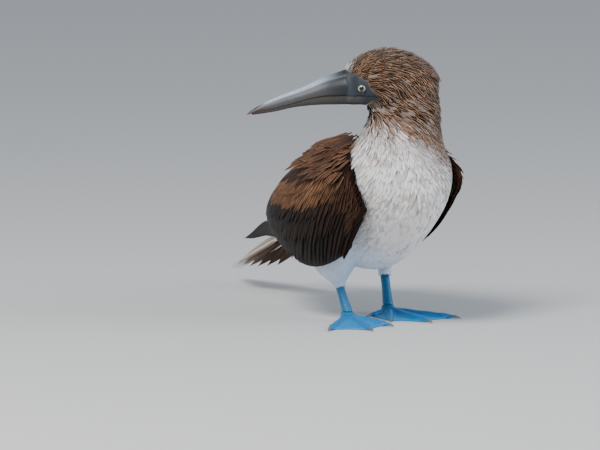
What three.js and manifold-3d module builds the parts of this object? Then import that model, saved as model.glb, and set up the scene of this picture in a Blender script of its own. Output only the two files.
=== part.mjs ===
// A blue-footed booby, life size, standing with its head turned to its right.
// Millimetres, +Z up. The bird faces -Y and its left side is +X. Its soles stand on z = 0.
import * as THREE from "three";
import { mergeVertices } from "three/addons/utils/BufferGeometryUtils.js";
import Module from "manifold-3d";

const wasm = await Module();
wasm.setup();

// Driving dimensions, in millimetres and degrees.
const GAP = 0.3;
const NECK_Y = -78;
const HEAD_YAW = 102;
const NECK_SWAY = 5;
const BILL_START = 62;
const BILL_TIP = 160;
const EYE_RADIUS = 6.5;
const EYE_PLACE = { forward: 47.5, height: 234.6, sink: 4.6 };
const STANCE = { halfWidth: 30, stagger: 17, leanBack: 15, leanOut: 3 };
// The body's rows are drawn at the heights of a bird that stands this much lower on its legs.
const BODY_UP = 6;
const SOCK_HEIGHT = 31 + BODY_UP;
const ANKLE_HEIGHT = 10;
const FOOT_TURN = 11;

const degrees = THREE.MathUtils.degToRad;
const { lerp, clamp } = THREE.MathUtils;

function material(colour, roughness) {
  return new THREE.MeshStandardMaterial({ color: colour, roughness, metalness: 0 });
}

const PLUMAGE_WHITE = material(0xe4e2df, 0.85);
const HEAD_BROWN = material(0x9a7a60, 0.85);
const WING_BROWN = material(0x4a3122, 0.75);
const TAIL_BROWN = material(0x7d6a58, 0.8);
const BILL_GREY = material(0x59606a, 0.45);
const FOOT_BLUE = material(0x3d9fd0, 0.55);
const CLAW_GREY = material(0x6d7376, 0.4);
const IRIS_YELLOW = material(0xe8e2a8, 0.1);

// A closed three.js geometry as a solid, turned face out if it came inside out.
function solidOf(geometry) {
  const bare = new THREE.BufferGeometry();
  bare.setAttribute("position", geometry.getAttribute("position"));
  bare.setIndex(geometry.index);
  const merged = mergeVertices(bare, 1e-4);
  const triVerts = new Uint32Array(merged.index.array);
  const vertProperties = merged.attributes.position.array;
  const made = new wasm.Manifold(new wasm.Mesh({ numProp: 3, vertProperties, triVerts }));
  if (made.volume() > 0) return made;
  for (let i = 0; i < triVerts.length; i += 3) {
    [triVerts[i + 1], triVerts[i + 2]] = [triVerts[i + 2], triVerts[i + 1]];
  }
  return new wasm.Manifold(new wasm.Mesh({ numProp: 3, vertProperties, triVerts }));
}

// The largest closed piece of a solid, without scraps or sealed hollows.
function largest(solid) {
  return solid.decompose().reduce((best, piece) => (piece.volume() > best.volume() ? piece : best));
}

function union(solids) {
  return solids.reduce((all, next) => all.add(next));
}

const bird = new THREE.Group();

// Adds a solid to the bird as one named mesh.
function addNode(name, solid, finish) {
  const mesh = largest(solid).getMesh();
  const geometry = new THREE.BufferGeometry();
  geometry.setAttribute("position", new THREE.BufferAttribute(mesh.vertProperties, 3));
  geometry.setIndex(new THREE.BufferAttribute(mesh.triVerts, 1));
  geometry.computeVertexNormals();
  const node = new THREE.Mesh(geometry, finish);
  node.name = name;
  bird.add(node);
}

// A smooth curve through rows of numbers: row k is at knot k, or at its own first number.
function smoothRow(rows, at, knots = rows.map((row, k) => k)) {
  let k = 0;
  while (k < rows.length - 2 && at > knots[k + 1]) k += 1;
  const span = knots[k + 1] - knots[k];
  const t = clamp((at - knots[k]) / span, 0, 1);
  return rows[k].map((value, i) => {
    const next = rows[k + 1][i];
    const slopeAt = (j) => {
      const a = Math.max(j - 1, 0);
      const b = Math.min(j + 1, rows.length - 1);
      return (rows[b][i] - rows[a][i]) / (knots[b] - knots[a]);
    };
    const m0 = slopeAt(k) * span;
    const m1 = slopeAt(k + 1) * span;
    const t2 = t * t;
    const t3 = t2 * t;
    return (2 * t3 - 3 * t2 + 1) * value + (t3 - 2 * t2 + t) * m0 + (3 * t2 - 2 * t3) * next + (t3 - t2) * m1;
  });
}

// A drum whose points are moved by place(along, angle, share): along runs 0 to 1 from end to end,
// angle goes round, and share is 0 at the middle of an end cap and 1 at its rim.
function drum(sides, rows, place) {
  const geometry = new THREE.CylinderGeometry(1, 1, 1, sides, rows, false);
  const position = geometry.getAttribute("position");
  for (let i = 0; i < position.count; i += 1) {
    const x = position.getX(i);
    const z = position.getZ(i);
    const share = Math.hypot(x, z) < 0.5 ? 0 : 1;
    const p = place(0.5 - position.getY(i), Math.atan2(x, z), share);
    position.setXYZ(i, p.x, p.y, p.z);
  }
  return solidOf(geometry);
}

// A tapered round limb through rows of [x, y, z, half width, half depth].
function limb(sides, steps, rows) {
  return drum(sides, steps, (along, angle, share) => {
    const [x, y, z, halfWidth, halfDepth] = smoothRow(rows, along * (rows.length - 1));
    return new THREE.Vector3(
      x + share * halfWidth * Math.sin(angle),
      y + share * halfDepth * Math.cos(angle),
      z,
    );
  });
}

// The hide: one smooth body from the rump over the back and up the neck to the root of the bill.
// Each row is [yaw, sway, dorsal forward, dorsal height, ventral forward, ventral height, half width,
// egg], where egg narrows the breast side of the row and widens its back.
// Forward is measured from the neck's upright axis, towards the way that the row faces.
const HIDE_ROWS = [
  [0, 0, -226, 95, -221, 83, 9, -0.08],
  [0, 0, -210, 109, -200, 71, 20, -0.08],
  [0, 0, -182, 127, -170, 59, 34, -0.08],
  [0, 0, -145, 144, -132, 51, 46, -0.08],
  [0, 0, -105, 157, -94, 46, 55, -0.04],
  [0, 0, -72, 167, -56.1, 46.1, 52.8, 0.06],
  [0, 0, -52, 175, -15.8, 60.3, 50.8, 0.16],
  [0, 0, -44, 180, 20.2, 81.3, 50.6, 0.18],
  [0, 0, -40, 185, 45.2, 104.8, 51.5, 0.16],
  [0, 1, -38, 190, 55.4, 129.9, 47.8, 0.13],
  [4, 2, -37, 197, 50, 156, 40.2, 0.14],
  [20, 3, -36, 205, 42.1, 183, 35.8, 0.16],
  [50, 4, -35, 214, 36, 202.3, 33.1, 0.06],
  [80, 5, -33, 227, 36, 211, 31, -0.05],
  [HEAD_YAW, NECK_SWAY, -32, 243, 37, 214, 29, -0.08],
  [HEAD_YAW, NECK_SWAY, -22, 258, 39, 216, 29, -0.08],
  [HEAD_YAW, NECK_SWAY, -5, 269, 42, 216.5, 29, -0.08],
  [HEAD_YAW, NECK_SWAY, 17, 274.5, 46, 217, 28, -0.08],
  [HEAD_YAW, NECK_SWAY, 38, 271, 50, 217, 24, -0.08],
  [HEAD_YAW, NECK_SWAY, 53, 262, 55, 217, 19, -0.08],
  [HEAD_YAW, NECK_SWAY, 62, 252.5, 60, 217, 14, -0.08],
];
const HIDE_SIDES = 24;
const HIDE_STEPS = 38;
const TORSO_END = 10.4;
const NECK_END = 14;

// A point given in the facing of a yaw: forward and sideways from the neck's axis, and its height.
function faced(yaw, sway, forward, left, height) {
  const turn = degrees(yaw);
  return new THREE.Vector3(
    sway - forward * Math.sin(turn) + left * Math.cos(turn),
    NECK_Y - forward * Math.cos(turn) - left * Math.sin(turn),
    height + BODY_UP,
  );
}

// A point of the hide. Row runs from the rump to the bill, angle is 0 on the back, and grow moves it out.
function hidePoint(row, angle, share = 1, grow = 0) {
  const [yaw, sway, backF, backZ, frontF, frontZ, halfWidth, egg] = smoothRow(HIDE_ROWS, row);
  const midF = (backF + frontF) / 2;
  const midZ = (backZ + frontZ) / 2;
  const half = Math.hypot(backF - frontF, backZ - frontZ) / 2;
  const reach = share * (1 + grow / half) * Math.cos(angle);
  const left = share * (halfWidth + grow) * Math.sin(angle) * (1 + egg * Math.cos(angle));
  return faced(yaw, sway, midF + (backF - midF) * reach, left, midZ + (backZ - midZ) * reach);
}

const lastRow = HIDE_ROWS.length - 1;
const hideSolid = (grow) =>
  drum(HIDE_SIDES, HIDE_STEPS, (along, angle, share) => hidePoint(along * lastRow, angle, share, grow));
const hide = hideSolid(0);
const hideClear = hideSolid(GAP + 0.05);

// The flat of a hide row as a cutting plane that faces the bill.
function cutAt(row) {
  const back = hidePoint(row, 0);
  const front = hidePoint(row, Math.PI);
  const side = hidePoint(row, Math.PI / 2);
  const ahead = hidePoint(row + 0.5, Math.PI / 2);
  const normal = front.clone().sub(back).cross(side.clone().sub(back)).normalize();
  if (normal.dot(ahead.sub(side)) < 0) normal.negate();
  return { normal: normal.toArray(), offset: normal.dot(back) };
}

function before(solid, plane) {
  return solid.trimByPlane(plane.normal.map((n) => -n), -plane.offset + GAP / 2);
}

function after(solid, plane) {
  return solid.trimByPlane(plane.normal, plane.offset + GAP / 2);
}

// The eyes: one ball each, set in a socket with a raised ring of lid round it.
const LID_RING = 5.3;
const LID_THICKNESS = 1.1;

function eyeFrame(side) {
  const { forward, height, sink } = EYE_PLACE;
  let surface = 0;
  for (let left = 5; left < 32; left += 0.1) {
    const probe = faced(HEAD_YAW, NECK_SWAY, forward, side * left, height);
    const dot = new THREE.SphereGeometry(0.3, 4, 3).translate(probe.x, probe.y, probe.z);
    if (hide.intersect(solidOf(dot)).isEmpty()) break;
    surface = left;
  }
  const centre = faced(HEAD_YAW, NECK_SWAY, forward, side * (surface - sink), height);
  const outward = faced(HEAD_YAW, NECK_SWAY, forward + 0.34, side * (surface - sink + 0.93), height + 0.1);
  return { centre, outward: outward.sub(centre).normalize() };
}

function ball(centre, radius, across, down) {
  return solidOf(new THREE.SphereGeometry(radius, across, down).translate(centre.x, centre.y, centre.z));
}

function lidRing({ centre, outward }) {
  const ring = new THREE.TorusGeometry(LID_RING, LID_THICKNESS, 5, 14);
  const turn = new THREE.Quaternion().setFromUnitVectors(new THREE.Vector3(0, 0, 1), outward);
  const place = centre.clone().addScaledVector(outward, Math.sqrt(EYE_RADIUS ** 2 - LID_RING ** 2));
  ring.applyQuaternion(turn).translate(place.x, place.y, place.z);
  return solidOf(ring);
}

let head = after(hide, cutAt(NECK_END));
for (const [name, side] of [["left", 1], ["right", -1]]) {
  const eye = eyeFrame(side);
  head = head.add(lidRing(eye)).subtract(ball(eye.centre, EYE_RADIUS + GAP, 18, 12));
  addNode(`${name}_eye`, ball(eye.centre, EYE_RADIUS, 12, 8), IRIS_YELLOW);
}

// The bill: an upper and a lower half with the line of the mouth between them.
// Each row is [forward, top, mouth, bottom, half width].
const BILL_ROWS = [
  [BILL_START, 252, 227.4, 217.5, 13],
  [83, 245, 227.0, 217.6, 10.6],
  [99, 237.4, 224.3, 217.0, 8.7],
  [114.5, 231.6, 220, 215.4, 7],
  [130, 226.2, 216, 212.2, 5.5],
  [146, 219.2, 212.7, 209.9, 3.7],
  [156, 213.2, 210.4, 208.9, 1.9],
  [BILL_TIP, 209.8, 209.0, 208.6, 0.6],
];
const BILL_SIDES = 18;
const BILL_STEPS = 14;
const GROOVE = { angle: degrees(52), spread: degrees(11), depth: 0.1 };

function billHalf(upper) {
  const knots = BILL_ROWS.map((row) => row[0]);
  return drum(BILL_SIDES, BILL_STEPS, (along, angle, share) => {
    const forward = lerp(BILL_START + GAP, upper ? BILL_TIP : BILL_TIP - 5, along);
    const [, top, mouth, bottom, halfWidth] = smoothRow(BILL_ROWS, forward, knots);
    const line = upper ? mouth + GAP / 2 : mouth - GAP / 2;
    const rise = upper ? top - line : bottom - line;
    const lift = Math.max(Math.cos(angle), 0) ** 0.85;
    const fromGroove = (Math.abs(angle) - GROOVE.angle) / GROOVE.spread;
    const groove = upper ? 1 - GROOVE.depth * Math.exp(-fromGroove * fromGroove) : 1;
    const left = halfWidth * Math.sin(angle) * groove * (upper ? 1 : 0.94);
    return faced(HEAD_YAW, NECK_SWAY, forward, share * left, line + share * rise * lift);
  });
}

const GAPE = { from: 42, height: 226.6, thickness: 0.7, depth: 3 };
for (const side of [1, -1]) {
  const slit = new THREE.BoxGeometry(BILL_START - GAPE.from, 30, GAPE.thickness);
  slit.rotateZ(-degrees(90 + HEAD_YAW));
  const middle = (GAPE.from + BILL_START) / 2 + 1;
  const place = faced(HEAD_YAW, NECK_SWAY, middle, side * (15 + 21 - GAPE.depth), GAPE.height);
  slit.translate(place.x, place.y, place.z);
  head = head.subtract(solidOf(slit));
}
const billFront = faced(HEAD_YAW, NECK_SWAY, BILL_START, 0, 0);
const billNormal = faced(HEAD_YAW, NECK_SWAY, BILL_START + 1, 0, 0).sub(billFront);
head = head.trimByPlane(billNormal.clone().negate().toArray(), -billNormal.dot(billFront));
addNode("head", head, HEAD_BROWN);
addNode("upper_bill", billHalf(true), BILL_GREY);
addNode("lower_bill", billHalf(false), BILL_GREY);
addNode("neck", before(after(hide, cutAt(TORSO_END)), cutAt(NECK_END)), HEAD_BROWN);
addNode("torso", before(hide, cutAt(TORSO_END)), PLUMAGE_WHITE);

// The wings, folded along the sides. Each row is a slice across the wing at one place along the body:
// [y, top height, bottom height, top out, middle out, bottom out, thickness].
const WING_ROWS = [
  [-111, 126, 106, 42, 49, 44, 6],
  [-104, 147, 94, 46, 53.5, 45, 16],
  [-85, 164, 84, 49, 63, 48, 24],
  [-50, 176, 61, 42, 72, 56, 28],
  [-10, 173, 48, 38, 77, 62, 30],
  [30, 166, 48, 34, 78, 64, 30],
  [70, 155, 57, 28, 72, 60, 26],
  [110, 139, 63, 22, 58, 49, 20],
  [150, 118, 62, 18, 44, 38, 12],
  [190, 93, 57, 16, 33, 30, 6],
  [230, 68, 50, 17, 25, 24, 4],
  [262, 48.5, 46, 20, 21, 20.5, 2],
];
const WING_KNOTS = WING_ROWS.map((row) => row[0]);
// The left wing is held higher and closer: how far its lower edge is up and in, and its middle is in.
const LEFT_TUCK = { up: 21, lowIn: 12, middleIn: 2.5, fromY: 150, fullY: 60 };

// A point of the wing's outer face: y along the body, down from 0 at the top edge to 1 at the bottom,
// and out in millimetres over that face.
function wingPoint(side, y, down, out = 0) {
  let [, topZ, bottomZ, topX, midX, bottomX] = smoothRow(WING_ROWS, y, WING_KNOTS);
  const tuck = side > 0 ? clamp((LEFT_TUCK.fromY - y) / (LEFT_TUCK.fromY - LEFT_TUCK.fullY), 0, 1) : 0;
  bottomZ += LEFT_TUCK.up * tuck * clamp((topZ - bottomZ - 10) / 60, 0, 1);
  bottomX -= LEFT_TUCK.lowIn * tuck;
  midX -= LEFT_TUCK.middleIn * tuck;
  const controlX = 2 * midX - (topX + bottomX) / 2;
  const up = 1 - down;
  const x = topX * up * up + 2 * controlX * up * down + bottomX * down * down;
  const z = BODY_UP + lerp(topZ, bottomZ, down);
  const slopeX = 2 * up * (controlX - topX) + 2 * down * (bottomX - controlX);
  const slopeZ = bottomZ - topZ;
  const length = Math.hypot(slopeX, slopeZ);
  return new THREE.Vector3(side * (x - (out * slopeZ) / length), y, z + (out * slopeX) / length);
}

function wingCore(side, endY, sunk) {
  return drum(14, 10, (along, angle, share) => {
    const y = lerp(WING_ROWS[0][0], endY, along);
    const thickness = smoothRow(WING_ROWS, y, WING_KNOTS)[6] * (1 - 0.85 * along ** 4);
    const turn = Math.abs(angle) / Math.PI;
    const outer = angle > -1e-6;
    const inset = outer ? sunk : thickness * Math.sin(Math.PI * clamp(turn, 0.02, 0.98)) ** 0.6 + sunk;
    const rim = wingPoint(side, y, turn, -inset);
    const middle = wingPoint(side, y, 0.5, -thickness / 2);
    return middle.lerp(rim, share);
  });
}

// A seeded random number from -1 to 1, so that no two feathers are quite alike.
let seed = 20;
function wobble() {
  seed = (seed * 16807) % 2147483647;
  return (seed / 2147483647) * 2 - 1;
}

// A feather's vane: a thin closed strip swept along shaft(share), which gives its middle line, its
// outer side and the way across it. Its two faces are split into triangles alike.
const VANE_THICKNESS = 0.8;
const VANE_SHAPE = [0.5, 0.95, 1, 0.8, 0.12];

function vane(shaft, halfWidth) {
  const points = [];
  const faces = [];
  const steps = VANE_SHAPE.length - 1;
  VANE_SHAPE.forEach((shape, i) => {
    const { at, out, across } = shaft(i / steps);
    for (const [reach, down] of [[-1, 0], [1, 0], [1, 1], [-1, 1]]) {
      const p = at.clone().addScaledVector(across, reach * shape * halfWidth);
      p.addScaledVector(out, -down * VANE_THICKNESS);
      points.push(p.x, p.y, p.z);
    }
  });
  for (let k = 0; k < steps * 4; k += 4) {
    const n = k + 4;
    faces.push(k, k + 1, n + 1, k, n + 1, n);
    faces.push(k + 1, k + 2, n + 2, k + 1, n + 2, n + 1);
    faces.push(k + 2, k + 3, n + 2, k + 3, n + 3, n + 2);
    faces.push(k + 3, k, n, k + 3, n, n + 3);
  }
  const end = steps * 4;
  faces.push(0, 3, 2, 0, 2, 1, end, end + 1, end + 2, end, end + 2, end + 3);
  const geometry = new THREE.BufferGeometry();
  geometry.setAttribute("position", new THREE.Float32BufferAttribute(points, 3));
  geometry.setIndex(faces);
  return solidOf(geometry);
}

// The frame of a shaft at one share of its length, from its course, its outer side and its roll.
function shaftFrame(course, outAt, share, roll) {
  const at = course(share);
  const back = course(share + 0.01).sub(course(share - 0.01)).normalize();
  const out = outAt(share).sub(at);
  out.addScaledVector(back, -out.dot(back)).normalize();
  const across = out.clone().cross(back);
  return {
    at,
    out: out.clone().multiplyScalar(Math.cos(roll)).addScaledVector(across, -Math.sin(roll)),
    across: across.multiplyScalar(Math.cos(roll)).addScaledVector(out, Math.sin(roll)),
  };
}

// The tiers of a wing's feathers, each from its front end to its rear end. Roots and tips are given
// as y and down on the wing, low and high as the millimetres over it, and stack as the step between
// one feather and the next.
const WING_TIERS = [
  { name: "secondaries", count: 8, rootY: [-102, 94], rootDown: [0.54, 0.58], tipY: [-86, 156],
    tipDown: [1.02, 1], halfWidth: [12.5, 14.5], low: -6.5, high: -1.2, stack: 0, roll: 3 },
  { name: "primaries", count: 5, rootY: [84, 118], rootDown: [0.8, 0.5], tipY: [208, 262],
    tipDown: [0.66, 0.5], halfWidth: [6.5, 7], low: -6, high: 2.5, stack: -1.3, roll: 0 },
  { name: "tertials", count: 3, rootY: [44, 96], rootDown: [0.4, 0.2], tipY: [128, 174],
    tipDown: [0.8, 0.36], halfWidth: [10, 10], low: -6.5, high: 1, stack: 0.4, roll: 3 },
  { name: "greater_coverts", count: 7, rootY: [-103, 84], rootDown: [0.38, 0.34], tipY: [-90, 120],
    tipDown: [0.76, 0.72], halfWidth: [13, 15], low: -6.5, high: 0.6, stack: 0, roll: 3 },
  { name: "median_coverts", count: 7, rootY: [-103, 78], rootDown: [0.17, 0.13], tipY: [-92, 106],
    tipDown: [0.52, 0.48], halfWidth: [13, 15], low: -6.5, high: 2.4, stack: 0, roll: 3 },
  { name: "scapulars", count: 6, rootY: [-98, 72], rootDown: [0.02, -0.02], tipY: [-82, 120],
    tipDown: [0.29, 0.26], halfWidth: [14, 16], low: -6.5, high: 4.8, stack: 0, roll: 3 },
];
const SLIVER = 0.05;
const CORE_END = 128;
const CORE_SUNK = 4.5;

function wingVanes(side) {
  return WING_TIERS.flatMap((tier) =>
    Array.from({ length: tier.count }, (_, i) => {
      const t = tier.count > 1 ? i / (tier.count - 1) : 0;
      const root = [lerp(...tier.rootY, t), lerp(...tier.rootDown, t)];
      const tip = [lerp(...tier.tipY, t) + wobble() * 1.5, lerp(...tier.tipDown, t) + wobble() * 0.012];
      const lift = (share) => lerp(tier.low, tier.high + i * tier.stack, Math.max(share, 0) ** 0.35);
      const course = (share, over = 0) => {
        const y = Math.min(lerp(root[0], tip[0], share), WING_ROWS.at(-1)[0]);
        return wingPoint(side, y, lerp(root[1], tip[1], share), lift(share) + over);
      };
      const roll = -side * degrees(tier.roll);
      const shaft = (share) =>
        shaftFrame(course, (at) => course(at, 1), clamp(share, 0.01, 0.99), roll);
      return vane(shaft, lerp(...tier.halfWidth, t));
    }),
  );
}

// The tail: twelve long pointed feathers in a low roof, the middle pair longest and on top, rooted
// in a small core and covered at the root, above and below, by shorter ones.
const TAIL = { startY: 149, coreEndY: 222, endY: 335, startZ: 88, endZ: 13, roof: 0.42 };
const TAIL_CORE = { halfWidth: 10, thickness: 6.5 };
const TAIL_PAIRS = 6;

function tailPoint(x, y, up) {
  const along = (y - TAIL.startY) / (TAIL.endY - TAIL.startY);
  return new THREE.Vector3(x, y, BODY_UP + lerp(TAIL.startZ, TAIL.endZ, along) - TAIL.roof * Math.abs(x) + up);
}

function tailCore() {
  return drum(12, 5, (along, angle, share) => {
    const y = lerp(TAIL.startY, TAIL.coreEndY, along);
    const x = share * TAIL_CORE.halfWidth * (1 - 0.3 * along) * Math.sin(angle);
    const thick = lerp(TAIL_CORE.thickness, 0.8, along);
    return tailPoint(x, y, share * thick * Math.cos(angle));
  });
}

function tailVane(root, tip, ups, halfWidth) {
  const course = (share, over = 0) => {
    const x = lerp(root[0], tip[0], share);
    return tailPoint(x, lerp(root[1], tip[1], share), lerp(ups[0], ups[1], share) + over);
  };
  const slope = Math.atan(TAIL.roof) * Math.sign(root[0]);
  return vane((share) => shaftFrame(course, (at) => course(at, 1), share, slope), halfWidth);
}

const tailVanes = [];
for (let k = 0; k < TAIL_PAIRS; k += 1) {
  for (const hand of [1, -1]) {
    const down = 1.2 * k;
    const tip = [hand * (5 + 3.6 * k), TAIL.endY - 6 * k - 1.4 * k * k - (hand < 0 ? 1.5 : 0)];
    tailVanes.push(tailVane([hand * (3 + 1.2 * k), 160], tip, [3.2 - down, 1.8 - down], 5));
  }
}
for (const [x, level] of [[4.5, 1], [-4.5, 1], [4.5, -1], [-4.5, -1]]) {
  const tip = [x * 1.5, 210 + wobble() * 3];
  tailVanes.push(tailVane([x, 152], tip, [level * 3, level > 0 ? 5 : -11], 5));
}
addNode("tail", union([tailCore(), ...tailVanes]).subtract(hideClear).simplify(SLIVER), TAIL_BROWN);
for (const [name, side] of [["left", 1], ["right", -1]]) {
  const wing = union([wingCore(side, CORE_END, CORE_SUNK), ...wingVanes(side)]);
  addNode(`${name}_wing`, wing.subtract(hideClear).simplify(SLIVER), WING_BROWN);
}

// The legs: a feathered thigh, a bare shank and a webbed foot of four toes.
// Each toe is [name, turn outward, length, root radius, tip radius].
const TOES = [
  ["hallux", -78, 25, 4.2, 2.6],
  ["inner_toe", -33, 56, 4.8, 3.0],
  ["middle_toe", -4, 76, 5.2, 3.2],
  ["outer_toe", 27, 74, 4.8, 3.0],
];
const CLAW_LENGTH = 8;
const WEB = { thickness: 1.6, rootHeight: 8, sag: 7, tipShare: 0.93 };

function footPoint(foot, turn, reach, height) {
  const heading = degrees(foot.heading + foot.side * turn);
  return new THREE.Vector3(
    foot.x + reach * Math.sin(heading),
    foot.y - reach * Math.cos(heading),
    height,
  );
}

function toeSolid(foot, [, turn, length, rootRadius, tipRadius]) {
  const knuckles = 3.5;
  const geometry = new THREE.CylinderGeometry(1, 1, 1, 8, 7, false);
  const position = geometry.getAttribute("position");
  for (let i = 0; i < position.count; i += 1) {
    const along = 0.5 - position.getY(i);
    const around = Math.atan2(position.getX(i), position.getZ(i));
    const share = Math.hypot(position.getX(i), position.getZ(i)) < 0.5 ? 0 : 1;
    const bulge = 1 + 0.07 * Math.cos(along * knuckles * 2 * Math.PI);
    const close = along > 0.98 ? 0.6 : 1;
    const radius = lerp(rootRadius, tipRadius, along) * bulge * close;
    const centre = footPoint(foot, turn, length * along, lerp(ANKLE_HEIGHT - 5.6, tipRadius * 0.75, along ** 0.7));
    const beside = footPoint(foot, turn + 90, 1, 0).sub(footPoint(foot, turn, 0, 0)).setZ(0).normalize();
    centre.addScaledVector(beside, share * radius * Math.sin(around));
    position.setXYZ(i, centre.x, centre.y, centre.z + share * radius * 0.85 * Math.cos(around));
  }
  return solidOf(geometry);
}

// The web between the toes: a fan that slopes from the ankle down to a thin, scalloped edge.
function webSolid(foot) {
  const turns = TOES.map((toe) => [toe[1], toe[2] * WEB.tipShare]);
  const geometry = new THREE.BoxGeometry(1, 1, 1, 18, 4, 1);
  const position = geometry.getAttribute("position");
  for (let i = 0; i < position.count; i += 1) {
    const place = (position.getX(i) + 0.5) * (turns.length - 1);
    const k = Math.min(Math.floor(place), turns.length - 2);
    const t = place - k;
    const turn = lerp(turns[k][0], turns[k + 1][0], t);
    const edge = lerp(turns[k][1], turns[k + 1][1], t) - WEB.sag * Math.sin(Math.PI * t);
    const out = position.getY(i) + 0.5;
    const reach = lerp(2, edge, out);
    const top = lerp(WEB.rootHeight, WEB.thickness, Math.min(1, out * 1.25) ** 0.55);
    const p = footPoint(foot, turn, reach, position.getZ(i) > 0 ? top : -1);
    position.setXYZ(i, p.x, p.y, p.z);
  }
  return solidOf(geometry);
}

function clawSolid(foot, [, turn, length, , tipRadius]) {
  const beside = footPoint(foot, turn + 90, 1, 0).sub(footPoint(foot, turn, 0, 0)).setZ(0).normalize();
  return drum(8, 5, (along, angle, share) => {
    const radius = lerp(tipRadius * 0.62, 0.35, along);
    const height = lerp(tipRadius * 0.9, 0.9, along ** 1.6);
    const p = footPoint(foot, turn, length + GAP + CLAW_LENGTH * along, height);
    p.addScaledVector(beside, share * radius * Math.sin(angle));
    p.z += share * radius * Math.cos(angle);
    return p;
  }).trimByPlane([0, 0, 1], 0.02);
}

const FLOOR = { normal: [0, 0, 1], offset: 0 };
for (const [name, side] of [["left", 1], ["right", -1]]) {
  const foot = {
    side,
    x: side * STANCE.halfWidth,
    y: side * STANCE.stagger,
    heading: side * FOOT_TURN,
  };
  const sockX = foot.x + side * STANCE.leanOut;
  const sockY = foot.y + STANCE.leanBack;
  const thigh = limb(16, 10, [
    [sockX - side * 9, sockY - 16, 78 + BODY_UP, 20, 30],
    [sockX - side * 6, sockY - 8, 58 + BODY_UP, 16, 22],
    [sockX - side * 1.5, sockY - 2, 43 + BODY_UP, 11.5, 14],
    [sockX, sockY, SOCK_HEIGHT, 5.8, 7],
  ]);
  const shank = limb(12, 6, [
    [sockX, sockY, SOCK_HEIGHT - GAP, 4.3, 5.6],
    [lerp(foot.x, sockX, 0.55), lerp(foot.y, sockY, 0.55), 24, 4.3, 5.8],
    [foot.x, foot.y + 1, ANKLE_HEIGHT + GAP, 5.2, 6.6],
  ]);
  const ankle = limb(12, 4, [
    [foot.x, foot.y + 1, ANKLE_HEIGHT, 5.4, 6.8],
    [foot.x, foot.y, 5, 7.4, 8.4],
    [foot.x, foot.y, -1, 7.2, 8],
  ]);
  const toes = TOES.map((toe) => toeSolid(foot, toe));
  const footSolid = union([ankle, webSolid(foot), ...toes]).trimByPlane(FLOOR.normal, FLOOR.offset);
  addNode(`${name}_thigh`, thigh.subtract(hideClear), PLUMAGE_WHITE);
  addNode(`${name}_shank`, shank, FOOT_BLUE);
  addNode(`${name}_foot`, footSolid, FOOT_BLUE);
  for (const toe of TOES) {
    const claw = clawSolid(foot, toe).subtract(footSolid);
    addNode(`${name}_${toe[0]}_claw`, claw, CLAW_GREY);
  }
}

// The origin is on the floor, under the middle of the bird's box.
const box = new THREE.Box3().setFromObject(bird, true);
bird.position.set(-(box.min.x + box.max.x) / 2, -(box.min.y + box.max.y) / 2, 0);

export default bird;
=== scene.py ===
import math
import bmesh
import bpy
import numpy as np
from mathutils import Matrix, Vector, kdtree


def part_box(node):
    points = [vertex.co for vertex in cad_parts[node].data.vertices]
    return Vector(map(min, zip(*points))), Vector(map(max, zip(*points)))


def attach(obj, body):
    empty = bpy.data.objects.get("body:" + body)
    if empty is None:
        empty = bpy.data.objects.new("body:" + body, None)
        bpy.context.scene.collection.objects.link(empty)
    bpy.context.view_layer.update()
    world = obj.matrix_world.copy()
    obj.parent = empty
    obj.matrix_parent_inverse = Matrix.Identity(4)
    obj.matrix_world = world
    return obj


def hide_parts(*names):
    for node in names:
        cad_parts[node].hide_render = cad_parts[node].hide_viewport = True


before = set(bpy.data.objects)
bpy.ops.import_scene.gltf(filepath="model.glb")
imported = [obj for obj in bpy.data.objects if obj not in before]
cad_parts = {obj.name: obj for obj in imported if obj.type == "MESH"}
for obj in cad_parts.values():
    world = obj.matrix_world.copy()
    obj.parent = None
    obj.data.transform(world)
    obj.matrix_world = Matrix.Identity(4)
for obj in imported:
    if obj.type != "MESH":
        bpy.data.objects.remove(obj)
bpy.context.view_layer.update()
MM = 0.001


# The place of the bird. The solids are drawn round the middle of its two ankles and then moved,
# so the shanks, which mirror each other, give back where that middle is on the floor.
SHANKS_BEHIND_ANKLES = 7.5 * MM
shank_corners = np.array([corner for side in ("left", "right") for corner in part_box(f"{side}_shank")])
ANKLES = (shank_corners.min(axis=0) + shank_corners.max(axis=0)) / 2
ANKLES[1] = shank_corners[:, 1].mean() - SHANKS_BEHIND_ANKLES
ANKLES[2] = 0


# The camera stands low, in front of the bird and on its right, far off with a long lens.
CAMERA_TURN = math.radians(-24)
CAMERA_RISE = math.radians(6.75)
CAMERA_AWAY = 9
LENS = 540
FRAME_LEFT_OF_ANKLES = 0.068
FRAME_ABOVE_ANKLES = 0.093

camera_data = bpy.data.cameras.new("camera")
camera = bpy.data.objects.new("camera", camera_data)
bpy.context.collection.objects.link(camera)
towards_camera = Vector((math.sin(CAMERA_TURN) * math.cos(CAMERA_RISE),
                         -math.cos(CAMERA_TURN) * math.cos(CAMERA_RISE),
                         math.sin(CAMERA_RISE)))
camera_right = Vector((math.cos(CAMERA_TURN), math.sin(CAMERA_TURN), 0))
camera_up = towards_camera.cross(camera_right)
looked_at = Vector(ANKLES) - camera_right * FRAME_LEFT_OF_ANKLES + camera_up * FRAME_ABOVE_ANKLES
camera.location = looked_at + towards_camera * CAMERA_AWAY
camera.rotation_euler = towards_camera.to_track_quat("Z", "Y").to_euler()
camera_data.lens = LENS
camera_data.sensor_width = 36
camera_data.clip_start = 0.1
camera_data.clip_end = 50
bpy.context.scene.camera = camera


# The studio: a pale floor, an even pale sky, and a broad soft light up on the camera's left.
def surface_material(name, colour, roughness):
    made = bpy.data.materials.new(name)
    made.use_nodes = True
    shader = made.node_tree.nodes["Principled BSDF"]
    shader.inputs["Base Color"].default_value = (*colour, 1)
    shader.inputs["Roughness"].default_value = roughness
    return made, made.node_tree, shader


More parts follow.
